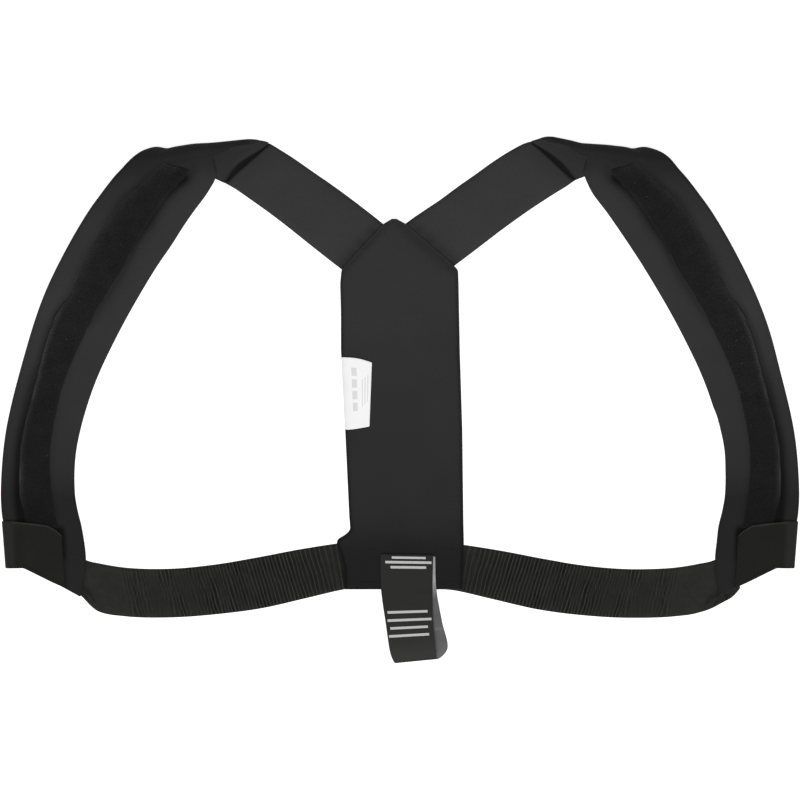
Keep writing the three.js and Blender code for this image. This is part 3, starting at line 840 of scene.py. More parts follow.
# %% Pad thickness
edge_radius = 4.4 + 5.0 * corner + 5.0 * sewn_end * (across < 0.5)
room = np.where(row < -1, (PAD_THICK - lap_rise(row)) / PAD_THICK, 1.0)
pad_share = rounded(np.minimum(lie["edge"], lie["tail"] * 1.5), edge_radius) * room
pad_share *= rounded(np.where(row < -1, lie["head"], 99) * 1.3, 2.2, least=0.3)
pad_share *= 1 - 0.46 * outer_channel - 0.34 * inner_channel - 0.12 * under_tape
thicken(pad, PAD_THICK, pad_share, side=0)
upper = upper_face(pad, len(flat), pad_route, lie)
pad_thin, pad_full = pad_share.min() * PAD_THICK, pad_share.max() * PAD_THICK
print("pad:", pad_thin.round(1), "to", pad_full.round(1), "mm thick")

# %% Pad padding
sewn_lines = (1 - lie["edge"] / 2.5, 1 - lie["tail"] / 3, outer_channel, inner_channel, under_tape, sewn_end)
swell = puff_up(pad, pins(upper, *sewn_lines, 1 - ramp(row, 0.1, 1.6)), pressure=5, most=1.4)
places = read_points(pad)
outward = np.vstack([facing(pad_route, row, across)] * 2)
unsewn = (1 - outer_channel) * (1 - inner_channel)
free = upper * twice(ramp(lie["edge"], 2, 8) * ramp(row, 0.0, 1.0) * unsewn)
wrinkle = free * MM * (0.4 * ripple(places / MM, 30, 4) + 0.15 * ripple(places / MM, 11, 5))
move_points(pad, places + outward * wrinkle[:, None])
smooth_over(pad)
pad.data.materials.append(knit_foam)
print("pad swelled by", round(swell, 2), "mm before the cap;", len(pad.data.polygons), "faces")

# %% [markdown]
# ## Loop tape
# The tape is a woven backing with a pile of tiny loops that the hook tab grips. The backing is a strip that
# Shrinkwrap settles on the finished pad, with its outer edge curling up a little. Painted loops would look
# flat from the side, so one loop is modelled, half a ring, and thousands of copies are sown on the backing.

# %% Finish of the loop pile
# painted light and shade along the tape: darker near its foot, in the hook tab's shade, and near its head,
# under the fold
PAINTED_LIGHT_UP_TAPE = [  # share of the way up the tape, how pale it is
    (0.02, 0.5), (0.09, 0.66), (0.16, 0.73), (0.29, 0.87), (0.4, 1.0), (0.55, 0.99), (0.7, 0.84),
    (0.92, 0.8),
]
loop_pile, shader = new_finish("loop_pile", roughness=0.88, specular=0.12, sheen=0.03)
clumps = speckle(loop_pile, scale=75.0, detail=4.0, Roughness=0.6)
lint = speckle(loop_pile, scale=420.0, detail=1.0)
height_up = wire(loop_pile, "SeparateXYZ", {0: on_object(loop_pile)}).outputs["Y"]
tape_span = {"Value": height_up, "From Min": -0.1, "From Max": 0.2}
up_tape = wire(loop_pile, "MapRange", tape_span).outputs["Result"]
clump_grey = grey_ramp(loop_pile, clumps, (0.3, 0.0052), (0.7, 0.0098))
painted_light_grey = mix(loop_pile, "MULTIPLY", clump_grey, grey_ramp(loop_pile, up_tape, *PAINTED_LIGHT_UP_TAPE))
linted = mix(loop_pile, "ADD", painted_light_grey, grey_ramp(loop_pile, lint, (0.765, 0.0), (0.8, 0.03)))
# the pale edge: partly a pale cut edge, partly a painted highlight where the curled edge catches the light
pale_edge_grey = grey_ramp(loop_pile, noted(loop_pile, "pale_edge"), (0.0, 0.0), (1.0, 0.019))
feed(loop_pile, shader, Base_Color=mix(loop_pile, "ADD", linted, pale_edge_grey))
feed(loop_pile, shader, Roughness=spread(loop_pile, clumps, low=0.8, high=0.95))
feed(loop_pile, shader, Normal=bump(loop_pile, lint, strength=0.4, depth=0.0004))
print("finish:", loop_pile.name)

# %% Tape route and tone
TAPE_BACKING, TAPE_WIDE = 0.9, 25.0
ABOVE_ALL = 60.0  # mm, higher than any piece
tape_strap = route_between(tape_inner, tape_outer)


def band(value, start, full, fading, end):
    """1 from full to fading, and smoothly down to 0 at start and end."""
    return ramp(value, start, full) * (1 - ramp(value, fading, end))


def tape_route(row, across):
    """The tape's place in plan, above everything: ragged at its head and wavy along its edges."""
    head_line = np.column_stack([across * 3.7, 0 * across, 0 * across])
    ragged = 0.16 * ripple(head_line, 1.0, 26) - 0.1 * (across < 0.5)
    row = np.clip(row + ragged * (1 - ramp(row, 0, 1.2)), -0.2, TAPE_END)
    uneven = np.column_stack([row * 3.4, np.round(across) * 9, 0 * row])
    wavy = 0.022 * ripple(uneven, 1.0, 27) + 0.016 * ripple(uneven * 2.6, 1.0, 30)
    return tape_strap(row, across + wavy * np.abs(2 * across - 1)) + np.array([0, 0, ABOVE_ALL])


def paler_side(row, across, places):
    """How much paler the tape is at its outer edge: softly above, as a thin line half-way, as a rim below;
    the line and the rim are partly a pale cut edge, partly a painted highlight where the curled edge catches
    the light.
    """
    from_outer = (1 - across) * TAPE_WIDE
    soft = 0.46 * np.exp(-np.maximum(from_outer, 0) / 3.6) * (1 - ramp(row, 5.6, 7.0))
    # painted highlight on the curled outer edge, partly a pale cut edge
    pale_edge_line = 0.9 * bell(from_outer - 0.9, 1.5) * band(row, 6.0, 7.2, 9.2, 10.2)
    rim = 0.62 * bell(from_outer, 2.2) * band(row, 9.2, 10.2, 12.4, 13.8)
    frayed_head = 0.25 * (1 - ramp(row, 0, 0.9)) * ramp(across, 0.1, 0.5)
    return np.clip((soft + pale_edge_line + rim + frayed_head) * (1 + 0.9 * ripple(places, 9, 27)), 0, 1)


print("tape backing", TAPE_BACKING, "mm thick")


tape, lie = cloth_strip(
    "loop_tape_backing_right", tape_route, 0, TAPE_END, along=180, across=12,
    edge_gather=0.5, allowance=(0.3, 0.3),
)
select_only(tape)
settle = tape.modifiers.new("settle", "SHRINKWRAP")
settle.target = pad
settle.wrap_method = "PROJECT"
settle.use_project_z = True
settle.use_negative_direction, settle.use_positive_direction = True, False
settle.offset = 0.25 * MM
bpy.ops.object.modifier_apply(modifier="settle")
row, across, places = lie["row"], lie["across"], read_points(tape)
outward = np.array([point.normal[:] for point in tape.data.vertices])
low = lower_half(row)
curl = 1.7 * ramp(across, 0.8, 1.0) ** 1.5 * low * (1 - ramp(row, 13.0, 14.2))
curl += (0.9 * low - 0.4) * ramp(1 - across, 0.9, 1.0)
curl *= 0.85 + 0.6 * ripple(places / MM, 20, 6)
note_on_points(tape, "pale_edge", paler_side(row, across, places / MM))
move_points(tape, places + outward * (curl * MM)[:, None])
rim = np.minimum(lie["edge"], np.minimum(lie["head"], lie["tail"]))
thicken(tape, TAPE_BACKING, rounded(rim, 0.8, least=0.3), side=1)
smooth_over(tape)
tape.data.materials.append(loop_pile)

# %% [markdown]
# ## Sowing small shapes
# Loops and stitches repeat by the thousand. Each is modelled once, in millimetres, and copied into
# one mesh, set on the surface where a ray from straight above meets the cloth.

# %% Sowing helpers
RAY_REACH = 0.09


def touch_down(piece, starts):
    """Where rays straight down from starts meet a piece, which way it looks there, and which rays met it."""
    tree = BVHTree.FromObject(piece, bpy.context.evaluated_depsgraph_get())
    hits = [tree.ray_cast(Vector(start), Vector((0, 0, -1)), RAY_REACH)[:2] for start in starts]
    met = np.array([place is not None for place, _ in hits])
    places, normals = zip(*(hit for hit in hits if hit[0] is not None))
    return np.array(places), np.array(normals), met


def unit(vectors):
    return vectors / np.maximum(np.linalg.norm(vectors, axis=1), 1e-12)[:, None]


def sow(shape, name, places, along, up, sizes):
    """Copies of a shape in one mesh: its x lies along, its z looks up, and each copy has its size in mm."""
    across = unit(np.cross(up, along))
    along = np.cross(across, up)
    points = read_points(shape)
    turned = np.stack([along, across, up], axis=1)
    copies = places[:, None, :] + np.einsum("mka,maj->mkj", points[None] * sizes[:, None, :] * MM, turned)
    faces = [list(face.vertices) for face in shape.data.polygons]
    mesh = bpy.data.meshes.new(name)
    all_faces = [[c + k * len(points) for c in face] for k in range(len(places)) for face in faces]
    mesh.from_pydata(copies.reshape(-1, 3), [], all_faces)
    mesh.update()
    sown = bpy.data.objects.new(name, mesh)
    scene.collection.objects.link(sown)
    select_only(sown)
    bpy.ops.object.shade_smooth()
    return sown


print("sowing helpers ready")

# %% One loop of the pile
bpy.ops.object.select_all(action="DESELECT")
bpy.ops.mesh.primitive_torus_add(
    major_segments=6, minor_segments=3, major_radius=0.5, minor_radius=0.17, rotation=(math.pi / 2, 0, 0)
)
one_loop = bpy.context.object
bpy.ops.object.transform_apply(location=True, rotation=True, scale=True)
bpy.ops.object.mode_set(mode="EDIT")
bpy.ops.mesh.select_all(action="SELECT")
bpy.ops.mesh.bisect(plane_co=(0, 0, 0), plane_no=(0, 0, 1), use_fill=True, clear_inner=True, threshold=1e-4)
bpy.ops.mesh.select_all(action="SELECT")
bpy.ops.transform.translate(value=(0, 0, -0.06))
bpy.ops.mesh.normals_make_consistent(inside=False)
bpy.ops.object.mode_set(mode="OBJECT")
print("one loop:", len(one_loop.data.polygons), "faces")

# %% Sow the pile
LOOP_ROWS, LOOPS_ACROSS, TAPE_STEPS = 270, 23, 800
chance = np.random.default_rng(11)
loop_row, loop_across = np.meshgrid(np.linspace(0.004, 0.996, LOOP_ROWS), np.linspace(0.1, 0.9, LOOPS_ACROSS))
loop_row = loop_row.ravel() + chance.uniform(-0.0017, 0.0017, loop_row.size)
loop_across = loop_across.ravel() + chance.uniform(-0.018, 0.018, loop_across.size)
fine = np.linspace(0, TAPE_END, TAPE_STEPS)
walked = walk(tape_route(fine, np.full(TAPE_STEPS, 0.5)))
loop_row = np.interp(loop_row * walked[-1], walked, fine)
places, normals, met = touch_down(tape, (tape_route(loop_row, loop_across) + PATTERN_SHIFT) * MM)
turn = chance.uniform(0, math.tau, len(places))
lean = unit(normals + chance.normal(0, 0.22, normals.shape))
sideways = unit(np.cross(lean, np.array([0.3, 0.9, 0.1])))
heading = sideways * np.cos(turn)[:, None] + np.cross(lean, sideways) * np.sin(turn)[:, None]
sizes = chance.uniform(0.8, 1.25, (len(places), 1)) * np.array([[1.0, 1.0, 0.7]])
pile = sow(one_loop, "loop_pile_right", places, heading, lean, sizes)
# the pile carries the same pale edge and painted highlight as its backing
paler = paler_side(loop_row[met], loop_across[met], places / MM)
note_on_points(pile, "pale_edge", np.repeat(paler, len(one_loop.data.vertices)))
pile.data.materials.append(loop_pile)
bpy.data.objects.remove(one_loop)
print("pile:", len(places), "loops")

# %% [markdown]
# ## Hook tabs
# A tab of stiff hook fabric lies on the end of the tape, turns round the pad's outer edge and runs back
# under the pad. It is one strip on a route with a half turn, thickened both ways, with a heavier edge where
# it was heat cut.

# %% Finish of the hook fabric
hook_cloth, shader = new_finish("hook_cloth", roughness=0.78, specular=0.10, sheen=0.01)
scuff = speckle(hook_cloth, scale=48.0, detail=5.0)
grain = speckle(hook_cloth, scale=1100.0, detail=1.0)
scuff_grey = grey_ramp(hook_cloth, scuff, (0.3, (0.0041, 0.0041, 0.0033)), (0.7, (0.0071, 0.0071, 0.0057)))
# painted highlight from the attribute: lighter on the raised top edge and on the rounded turn
painted_edge_light_grey = grey_ramp(hook_cloth, noted(hook_cloth, "painted_edge_light"), (0.0, 0.0), (1.0, 0.03))
weave = knit_height(hook_cloth, course=0.0014, wale=0.0012)
weave_bump = bump(hook_cloth, weave, strength=0.3, depth=0.00015)
feed(hook_cloth, shader, Base_Color=mix(hook_cloth, "ADD", scuff_grey, painted_edge_light_grey))
feed(hook_cloth, shader, Roughness=spread(hook_cloth, scuff, low=0.62, high=0.8))
feed(hook_cloth, shader, Normal=bump(hook_cloth, grain, strength=0.25, depth=0.0002, Normal=weave_bump))
print("finish:", hook_cloth.name)

# %% Hook tab's route
TAB = [  # upper x, upper y, lower x, lower y, height of the top layer
    (270.0, -108.8, 267.2, -148.8, 9.3), (274.0, -104.8, 270.4, -147.6, 10.0),
    (281.6, -100.2, 278.4, -144.0, 10.5), (298.0, -98.4, 300.8, -132.8, 10.3),
    (311.6, -97.0, 308.8, -133.0, 9.4),
]
TAB_THICK, TAB_LOW, TAB_HIGH = 1.8, 1.0, TAB[-1][4]
TAB_TURN_ROW = len(TAB) - 1
TAB_TURN_OUT = 6.2


def tab_route(row, across):
    turn = np.clip(row - TAB_TURN_ROW, 0, 1)
    back = np.where(turn < 1, TAB_TURN_ROW, 2 * TAB_TURN_ROW + 1 - row)
    on_table = np.where(row <= TAB_TURN_ROW, row, back)
    upper_x, upper_y, lower_x, lower_y, high = column(TAB, on_table)
    x = lower_x + (upper_x - lower_x) * across + TAB_TURN_OUT * np.sin(turn * np.pi)
    y = lower_y + (upper_y - lower_y) * across
    turning = (TAB_HIGH + TAB_LOW) / 2 + (TAB_HIGH - TAB_LOW) / 2 * np.cos(turn * np.pi)
    settled = 1.5 * (1 - np.clip(across, 0, 1)) ** 1.5 * (1 - ramp(row, 2.6, TAB_TURN_ROW))
    return np.column_stack([x, y, np.where(row <= TAB_TURN_ROW, high - settled, turning)])


print("tab turns", TAB_TURN_OUT, "mm out")

# %% Hook tab
tab, lie = cloth_strip(
    "hook_tab_cloth_right", tab_route, 0, 2 * TAB_TURN_ROW + 1, along=80, across=20,
    edge_gather=0.6, allowance=(1.7, 0.3),
)
rim = np.minimum(lie["edge"], np.minimum(lie["head"], lie["tail"]))
# painted highlight along the tab's raised top edge, broken along its length, and painted light on the rounded
# turn
top_edge = bell((1 - lie["across"]) * lie["width"], 0.9) * (1 - ramp(lie["row"], 3.8, 4.0))
turn_light = 0.25 * ramp(lie["row"], 3.55, 4.2)
painted_edge_light = turn_light + top_edge * (0.75 + 0.5 * ripple(read_points(tab) / MM, 8, 28))
note_on_points(tab, "painted_edge_light", np.clip(painted_edge_light, 0, 1))
bead = 0.82 + 0.18 * bell(rim - 1.2, 0.9)
thicken(tab, TAB_THICK, rounded(rim, 0.9, least=0.3) * bead, side=0)
smooth_over(tab)
tab.data.materials.append(hook_cloth)

# %% [markdown]
# ## Elastic side straps
# The straps are woven elastic whose ribs stand up where it was sewn gathered, near the panel, and flatten
# where it is pulled straight, near the pad. The ribs lean, are uneven and catch the light as thin lines, so
# they are real relief: the strip's thickness follows them. Their ridges are also painted lighter and their
# grooves darker, painted highlight and shade.

# %% Finish of the elastic
# greys for the painted rib light: dark for painted shade in the grooves, light for painted highlights on the
# ridges
RIB_GREYS = [(0.0, (0.0012, 0.0012, 0.0010)), (0.4, (0.0105, 0.0105, 0.0094)), (1.0, (0.034, 0.034, 0.031))]
ribbed_elastic, shader = new_finish("ribbed_elastic", roughness=0.78, specular=0.10, sheen=0.01)
yarn = speckle(ribbed_elastic, scale=240.0, detail=3.0)
yarn_grey = grey_ramp(ribbed_elastic, yarn, (0.3, 0.85), (0.7, 1.15))
painted_rib_grey = grey_ramp(ribbed_elastic, noted(ribbed_elastic, "painted_rib_light"), *RIB_GREYS)
weave = knit_height(ribbed_elastic, course=0.0016, wale=0.0011)
weave_bump = bump(ribbed_elastic, weave, strength=0.35, depth=0.0002)
feed(ribbed_elastic, shader, Base_Color=mix(ribbed_elastic, "MULTIPLY", painted_rib_grey, yarn_grey))
feed(ribbed_elastic, shader, Roughness=spread(ribbed_elastic, yarn, low=0.62, high=0.82), Normal=weave_bump)
print("finish:", ribbed_elastic.name)

# %% Elastic strap
ELASTIC = [  # upper x, upper y, lower x, lower y
    (33.0, -113.4, 31.6, -149.2), (49.6, -115.0, 44.8, -150.6), (81.6, -120.0, 75.2, -157.6),
    (115.2, -126.4, 110.4, -165.6), (148.8, -132.0, 146.4, -170.4), (182.4, -135.2, 182.4, -173.0),
    (216.0, -134.7, 219.2, -172.2), (238.4, -131.4, 241.6, -167.8), (252.8, -127.6, 255.6, -154.0),
    (264.6, -117.6, 265.2, -147.6),
]
ELASTIC_THICK = 1.8
elastic_upper, elastic_lower = two_edges(ELASTIC)
elastic_route = route_between(elastic_lower, elastic_upper)
elastic, lie = cloth_strip(
    "side_elastic_cloth_right", elastic_route, 0, len(ELASTIC) - 1, along=1000, across=14,
    edge_gather=0.5, allowance=(1.0, 0.3),
)
flat = elastic_route(lie["row"], lie["across"])
out_x = elastic_route(lie["row"], np.full(len(flat), 0.5))[:, 0]
height = (lie["across"] - 0.5) * lie["width"]

# %% Ribs
RIB_PITCH = [  # mm out, mm from rib to rib
    (0, 4.4), (40, 4.4), (62, 3.8), (80, 2.9), (150, 2.7), (200, 3.0), (320, 3.6),
]
RIB_LEAN = [(40, 0), (60, 5), (120, 11), (200, 17)]  # mm out, degrees
COUNT_STEP = 0.1
fine = np.linspace(0, 320, 3201)
ribs_before = np.cumsum(COUNT_STEP / look_up(fine, RIB_PITCH))
lean = np.tan(np.radians(look_up(out_x, RIB_LEAN)))
leaning = np.column_stack([lie["head"] - lean * height, height / 2.2, 0 * height])
wander = (0.26 + 0.34 * ramp(out_x, 110, 185)) * ripple(leaning, 7.0, 7)
rib_place = np.interp(out_x - lean * height, fine, ribs_before) + wander
from_crest = (rib_place + 0.5) % 1 - 0.5
which_rib = np.column_stack([np.floor(rib_place + 0.5) * 1.7, height / 26, 0 * height])
strength = np.clip(0.62 + 0.75 * ripple(which_rib, 1.0, 8), 0.12, 1) * (1 - ramp(out_x, 206, 232))
sparse = np.clip(0.62 + 2.2 * ripple(which_rib * np.array([0.2, 0.6, 1.0]), 1.0, 18), 0.1, 1.5)
strength *= 1 + (sparse - 1) * ramp(out_x, 120, 190)
along_rib = np.column_stack([rib_place * 1.4, height / 3.2, 0 * height])
broken = np.clip(0.95 + 1.1 * ripple(along_rib, 1.0, 31), 0.25, 1.6)
strength *= 1 + (broken - 1) * ramp(out_x, 70, 120)
ridge = bell(from_crest, 0.14) * strength
groove = bell(np.abs(from_crest - 0.06) - 0.42, 0.2) * strength
print("elastic:", int(rib_place.max() - rib_place.min()), "ribs")

# %% Gathers at the pad
GATHERS = [(222, 0.9), (244, 1.0), (262, 0.6)]  # degrees, how deep
GATHER_PLACE = np.array([255.5, -150.0])
away = flat[:, :2] - GATHER_PLACE
gather = np.zeros(len(flat))
for angle, size in GATHERS:
    run = np.array([math.cos(math.radians(angle)), math.sin(math.radians(angle))])
    off = away @ np.array([-run[1], run[0]])
    gather += size * bell(off, 1.2) * band(away @ run, 0, 4, 9, 20)
print("gathers:", len(GATHERS))

# %% Elastic tone and thickness
middle_run = band(out_x, 60, 105, 184, 216)
from_top, from_bottom = (1 - lie["across"]) * lie["width"], lie["across"] * lie["width"]
pale_edge = 0.10 * bell(from_top, 4.5) + 0.05 * bell(from_bottom, 4.5)
# painted light and shade: ridges painted lighter as highlights, grooves darker as shade, gather crests
# lighter and gather folds darker; the rest sets the strap's tone along its length, with uneven dye
tone = 0.415 + 0.055 * ramp(out_x, 200, 235) - 0.06 * middle_run - 0.09 * strength
tone += 0.035 * bell(out_x - 190, 32)
tone += (0.5 + 0.36 * middle_run) * ridge - (0.2 + 0.14 * middle_run) * groove + 0.12 * gather
# painted shade: a dark patch where the strap tucks in at the pad's corner
tone += 0.06 * ripple(flat, 11, 29) - 0.2 * bell(flat[:, 0] - 254, 5) * bell(flat[:, 1] + 154, 5.5)
tone -= 0.3 * bell(gather - 0.35, 0.2) * (gather > 0.08)
tone += pale_edge * (1 - ramp(out_x, 225, 245))
note_on_points(elastic, "painted_rib_light", np.clip(tone, 0, 1))
rib_share = 0.66 + 0.34 * ridge - 0.22 * groove + 0.3 * np.clip(gather, 0, 1)
thicken(elastic, ELASTIC_THICK, rounded(lie["edge"], 1.0, least=0.35) * rib_share, side=1)
select_only(elastic)
bpy.ops.object.shade_smooth()
elastic.data.materials.append(ribbed_elastic)
print("elastic:", len(elastic.data.polygons), "faces")

# %% [markdown]
# ## Labels
# A loop of black satin hangs from the hem, and a white satin label is caught in the panel's left seam.
# Satin is woven finely and shines along its threads. Plain bars stand where print would be: no lettering is
# drawn.

# %% Satin
SATIN_PITCH = 0.00055
LIT_LENGTH = 180  # mm


def satin(name, light, dark, roughness, specular):
    finish, shader = new_finish(name, roughness, specular, sheen=0.0)
    lengths = on_cloth(finish)
    threads = reckon(finish, "SINE", reckon(finish, "MULTIPLY", lengths["Y"], math.tau / SATIN_PITCH))
    mottle = speckle(finish, scale=90.0, detail=4.0)
    grey = grey_ramp(finish, mottle, (0.3, dark), (0.7, light))
    nap = spread(finish, mottle, roughness - 0.06, roughness + 0.08)
    feed(finish, shader, Roughness=nap, Normal=bump(finish, threads, strength=0.2, depth=0.0001))
    return finish, shader, lengths, grey


def light_along(finish, lengths, grey, *stops):
    """Vary a label's light along its length: a stop is a place in mm and a share of light, up to twice."""
    share = wire(finish, "MapRange", {"Value": lengths["X"], "From Max": LIT_LENGTH * MM}).outputs["Result"]
    light = grey_ramp(finish, share, *((place / LIT_LENGTH, level / 2) for place, level in stops))
    return mix(finish, "MULTIPLY", mix(finish, "MULTIPLY", grey, (2, 2, 2, 1)), light)


def bar(finish, lengths, x0, x1, y0, y1):
    """1 inside a rectangle of the UV map, given in mm, and 0 outside it."""
    sides = []
    for socket, low, high in (("X", x0, x1), ("Y", y0, y1)):
        away = reckon(finish, "SUBTRACT", lengths[socket], (low + high) / 2 * MM)
        sides.append(reckon(finish, "LESS_THAN", reckon(finish, "ABSOLUTE", away), (high - low) / 2 * MM))
    return reckon(finish, "MULTIPLY", *sides)


def with_bars(finish, shader, lengths, ground, ink, bars):
    inked = bar(finish, lengths, *bars[0])
    for sides in bars[1:]:
        inked = reckon(finish, "MAXIMUM", inked, bar(finish, lengths, *sides))
    feed(finish, shader, Base_Color=mix(finish, "MIX", ground, (ink, ink, ink, 1), share=inked))


print("satin helpers ready")

# %% Finishes of the labels
LOOP_BARS = [
    (2.2, 4.0, 9, 35), (5.8, 7.8, 4, 39.5), (9.8, 11.8, 8, 35.5),
    (45.4, 47.4, 3, 36.5), (51.8, 53.8, 2, 39.5), (58, 60, 3.5, 36), (64.2, 66.2, 1.5, 36.5),
]
CARE_BARS = [(8.6, 12.6, 14 + 9.2 * k, 20.6 + 9.2 * k) for k in range(4)]
CARE_BARS += [(16.2 + 2.1 * k, 17.0 + 2.1 * k, 17 + 2 * k, 40 + 2 * k) for k in range(3)]
FRONT_LIGHT = [(0, 0.78), (40, 0.84), (66, 1.1), (84, 1.62)]
BACK_LIGHT = [
    (90, 0.92), (97, 0.7), (106, 0.55), (113, 0.55), (115, 0.78), (117, 0.53), (140, 0.56), (147, 1.14),
    (155, 1.8),
]
black_satin, shader, lengths, ground = satin(
    "black_satin", light=(0.0115, 0.0115, 0.0106), dark=(0.0092, 0.0092, 0.0085),
    roughness=0.62, specular=0.14,
)
ground = light_along(black_satin, lengths, ground, *FRONT_LIGHT)
with_bars(black_satin, shader, lengths, ground, 0.36, LOOP_BARS)
white_satin, shader, lengths, ground = satin(
    "white_satin", light=0.705, dark=0.675, roughness=0.55, specular=0.2
)
with_bars(white_satin, shader, lengths, ground, 0.54, CARE_BARS)
# the ribbon's white reverse, painted dark grey as shade because it lies inside the loop, with painted light
# along it where it turns
ribbon_back, shader, lengths, ground = satin(
    "ribbon_back", light=0.14, dark=0.115, roughness=0.6, specular=0.12
)
feed(ribbon_back, shader, Base_Color=light_along(ribbon_back, lengths, ground, *BACK_LIGHT))
print("finishes:", black_satin.name, white_satin.name, ribbon_back.name)

# %% Hanging label
HANG_LABEL = [  # left x, left y, right x, right y, height
    (-16.0, -122.6, 26.6, -123.4, 5.9), (-15.4, -150.4, 26.1, -150.4, 6.0),
    (-11.7, -177.6, 26.4, -176.0, 6.4), (-7.4, -204.0, 28.8, -201.2, 6.0),
    (-4.0, -210.7, 29.8, -207.4, 3.4), (-4.2, -204.0, 38.0, -199.4, 1.1), (-8.0, -177.6, 33.7, -177.0, 2.4),
    (-13.0, -153.0, 29.4, -152.4, 5.2), (-15.0, -124.4, 28.4, -124.8, 5.2),
]
LABEL_THICK = 0.5
hang_route = route_between(*two_edges(HANG_LABEL, 4, 4))
hang, lie = cloth_strip(
    "hang_label_satin", hang_route, 0, len(HANG_LABEL) - 1, along=100, across=16, edge_gather=0.3
)
places = read_points(hang)
places[:, 2] += MM * 0.35 * ripple(places / MM, 17, 9) * (lie["head"] > 30) * (lie["row"] < 4)
move_points(hang, places)
thicken(hang, LABEL_THICK, np.ones(len(places)), side=0)
inside = ~upper_face(hang, len(places), hang_route, lie)
hang.data.materials.append(black_satin)
hang.data.materials.append(ribbon_back)
for face in hang.data.polygons:
    face.material_index = int(all(inside[point] for point in face.vertices))
smooth_over(hang)

# %% Care label
CARE_LABEL = [  # top inset from the panel's left edge, top, bottom inset, bottom, height
    (-0.9, 34.4, -0.9, -23.6, 2.6), (0.6, 34.3, 0.6, -23.8, 4.3), (4.0, 34.2, 4.0, -23.6, 5.9),
    (13.0, 33.2, 11.2, -22.6, 6.9), (23.5, 30.1, 18.8, -21.2, 6.2),
]


def from_panel_left(inset, y, lift):
    return np.interp(-y, -sections[:, 0], sections[:, 1]) + inset, y, lift


care_top = smooth_edge([from_panel_left(inset, y, lift) for inset, y, _, _, lift in CARE_LABEL])
care_bottom = smooth_edge([from_panel_left(inset, y, lift) for _, _, inset, y, lift in CARE_LABEL])
care_route = route_between(care_bottom, care_top)
care, lie = cloth_strip(
    "care_label_satin", care_route, 0, len(CARE_LABEL) - 1, along=24, across=36, edge_gather=0.2
)
thicken(care, LABEL_THICK, np.ones(len(lie["row"])), side=0)
smooth_over(care)
care.data.materials.append(white_satin)

# %% [markdown]
# ## The other side
# The brace is the same on both sides, so each right-hand piece is copied with its own mesh and turned over
# across the middle. That turns a shape inside out, so its faces are flipped back.

# %% Left-hand pieces
def left_twin(piece):
    select_only(piece)
    bpy.ops.object.duplicate()
    twin = bpy.context.object
    twin.name = twin.data.name = piece.name.replace("_right", "_left")
    twin.data.transform(Matrix.Diagonal((-1, 1, 1, 1)))
    twin.data.flip_normals()
    return twin


right = {"yoke": yoke, "pad": pad, "tape": tape, "pile": pile, "tab": tab, "elastic": elastic}
left = {name: left_twin(piece) for name, piece in right.items()}
SIDES = {"left": left, "right": right}
print("left-hand pieces:", sorted(piece.name for piece in left.values()))

# %% [markdown]
# ## Lying unevenly
# Cloth that is laid out by hand never lies quite the same on both sides. Here the right shoulder lies a
# little higher, the pads' corners are pushed out, and the right elastic bags at the pad. Building each half
# by itself would double the patterns, so the finished twins are nudged by a few millimetres, fading
# smoothly.

# %% Right shoulder, a little higher
RAISED = [  # mm out, mm higher
    (0, 5.0), (12, 4.8), (20, 4.5), (50, 4.3), (80, 3.7), (106, 2.9), (123, 1.9), (136, 0.6), (145, -0.8),
    (165, 0.0), (184, -0.1), (205, 0),
]


def near(places, x, y, reach):
    """How near places, in mm and with x outward, are to a spot in plan: 1 on it, fading over its reach."""
    return np.exp(-(((np.abs(places[:, 0]) - x) ** 2 + (places[:, 1] - y) ** 2) / reach**2))


def above_yoke_line(places, line_y):
    """How far places lie above a line that slants along the yoke, in mm."""
    return 0.812 * (places[:, 1] - line_y) - 0.584 * (np.abs(places[:, 0]) - 32.8)


for name in ("yoke", "pad", "tape", "pile"):
    places = in_pattern(right[name])
    seam_shift = 2.0 * near(places, 146, 177, 8) - 1.9 * near(places, 106, 208, 7)
    places[:, 1] += look_up(places[:, 0], RAISED) + seam_shift
    if name == "yoke":
        x = places[:, 0].copy()
        start_drop = 0.8 * (1 - ramp(x, 55, 75)) + 1.2 * (1 - ramp(x, 10, 30))
        places[:, 1] -= start_drop * ramp(above_yoke_line(places, 128.8), 4, 20)
        places[:, 0] -= 5.0 * (1 - ramp(x, 8, 34))
    from_pattern(right[name], places)
print("right shoulder raised by up to", max(high for _, high in RAISED), "mm")

# %% Pads' corners and edges
CORNER_PUSH = {"left": 1.0, "right": 1.9}
for side, pieces in SIDES.items():
    places = in_pattern(pieces["pad"])
    down = -places[:, 1]
    push = CORNER_PUSH[side] * near(places, 214, 193.5, 10)
    slim_ends = band(down, 4, 14, 34, 60) + band(down, 100, 116, 132, 144)
    slim = 0.8 * slim_ends * (1 - ramp(places[:, 0], 262, 276)) + 0.9 * near(places, 296, 54, 26)
    fuller = -0.8 * near(places, 184, 123, 14)
    places[:, 0] += np.sign(places[:, 0]) * (0.6 * push + np.where(places[:, 0] > 0, slim, fuller))
    places[:, 1] += 0.8 * push
    places[:, 1] += (places[:, 0] < 0) * (0.8 * near(places, 165, 203, 11) - 1.2 * near(places, 141, 175, 8))
    from_pattern(pieces["pad"], places)
print("pad corners pushed out:", CORNER_PUSH)

# %% Yokes' upper edges
for pieces in SIDES.values():
    places = in_pattern(pieces["yoke"])
    outward, lefthand = np.abs(places[:, 0]), places[:, 0] < 0
    places[:, 1] += 0.9 * bell(outward - 86, 15) * ramp(above_yoke_line(places, 125.8), 2, 18)
    places[:, 1] -= lefthand * (0.9 * (1 - ramp(outward, 70, 110)) + 1.2 * near(places, 141, 175, 8))
    from_pattern(pieces["yoke"], places)
print("yokes settled:", [pieces["yoke"].name for pieces in SIDES.values()])

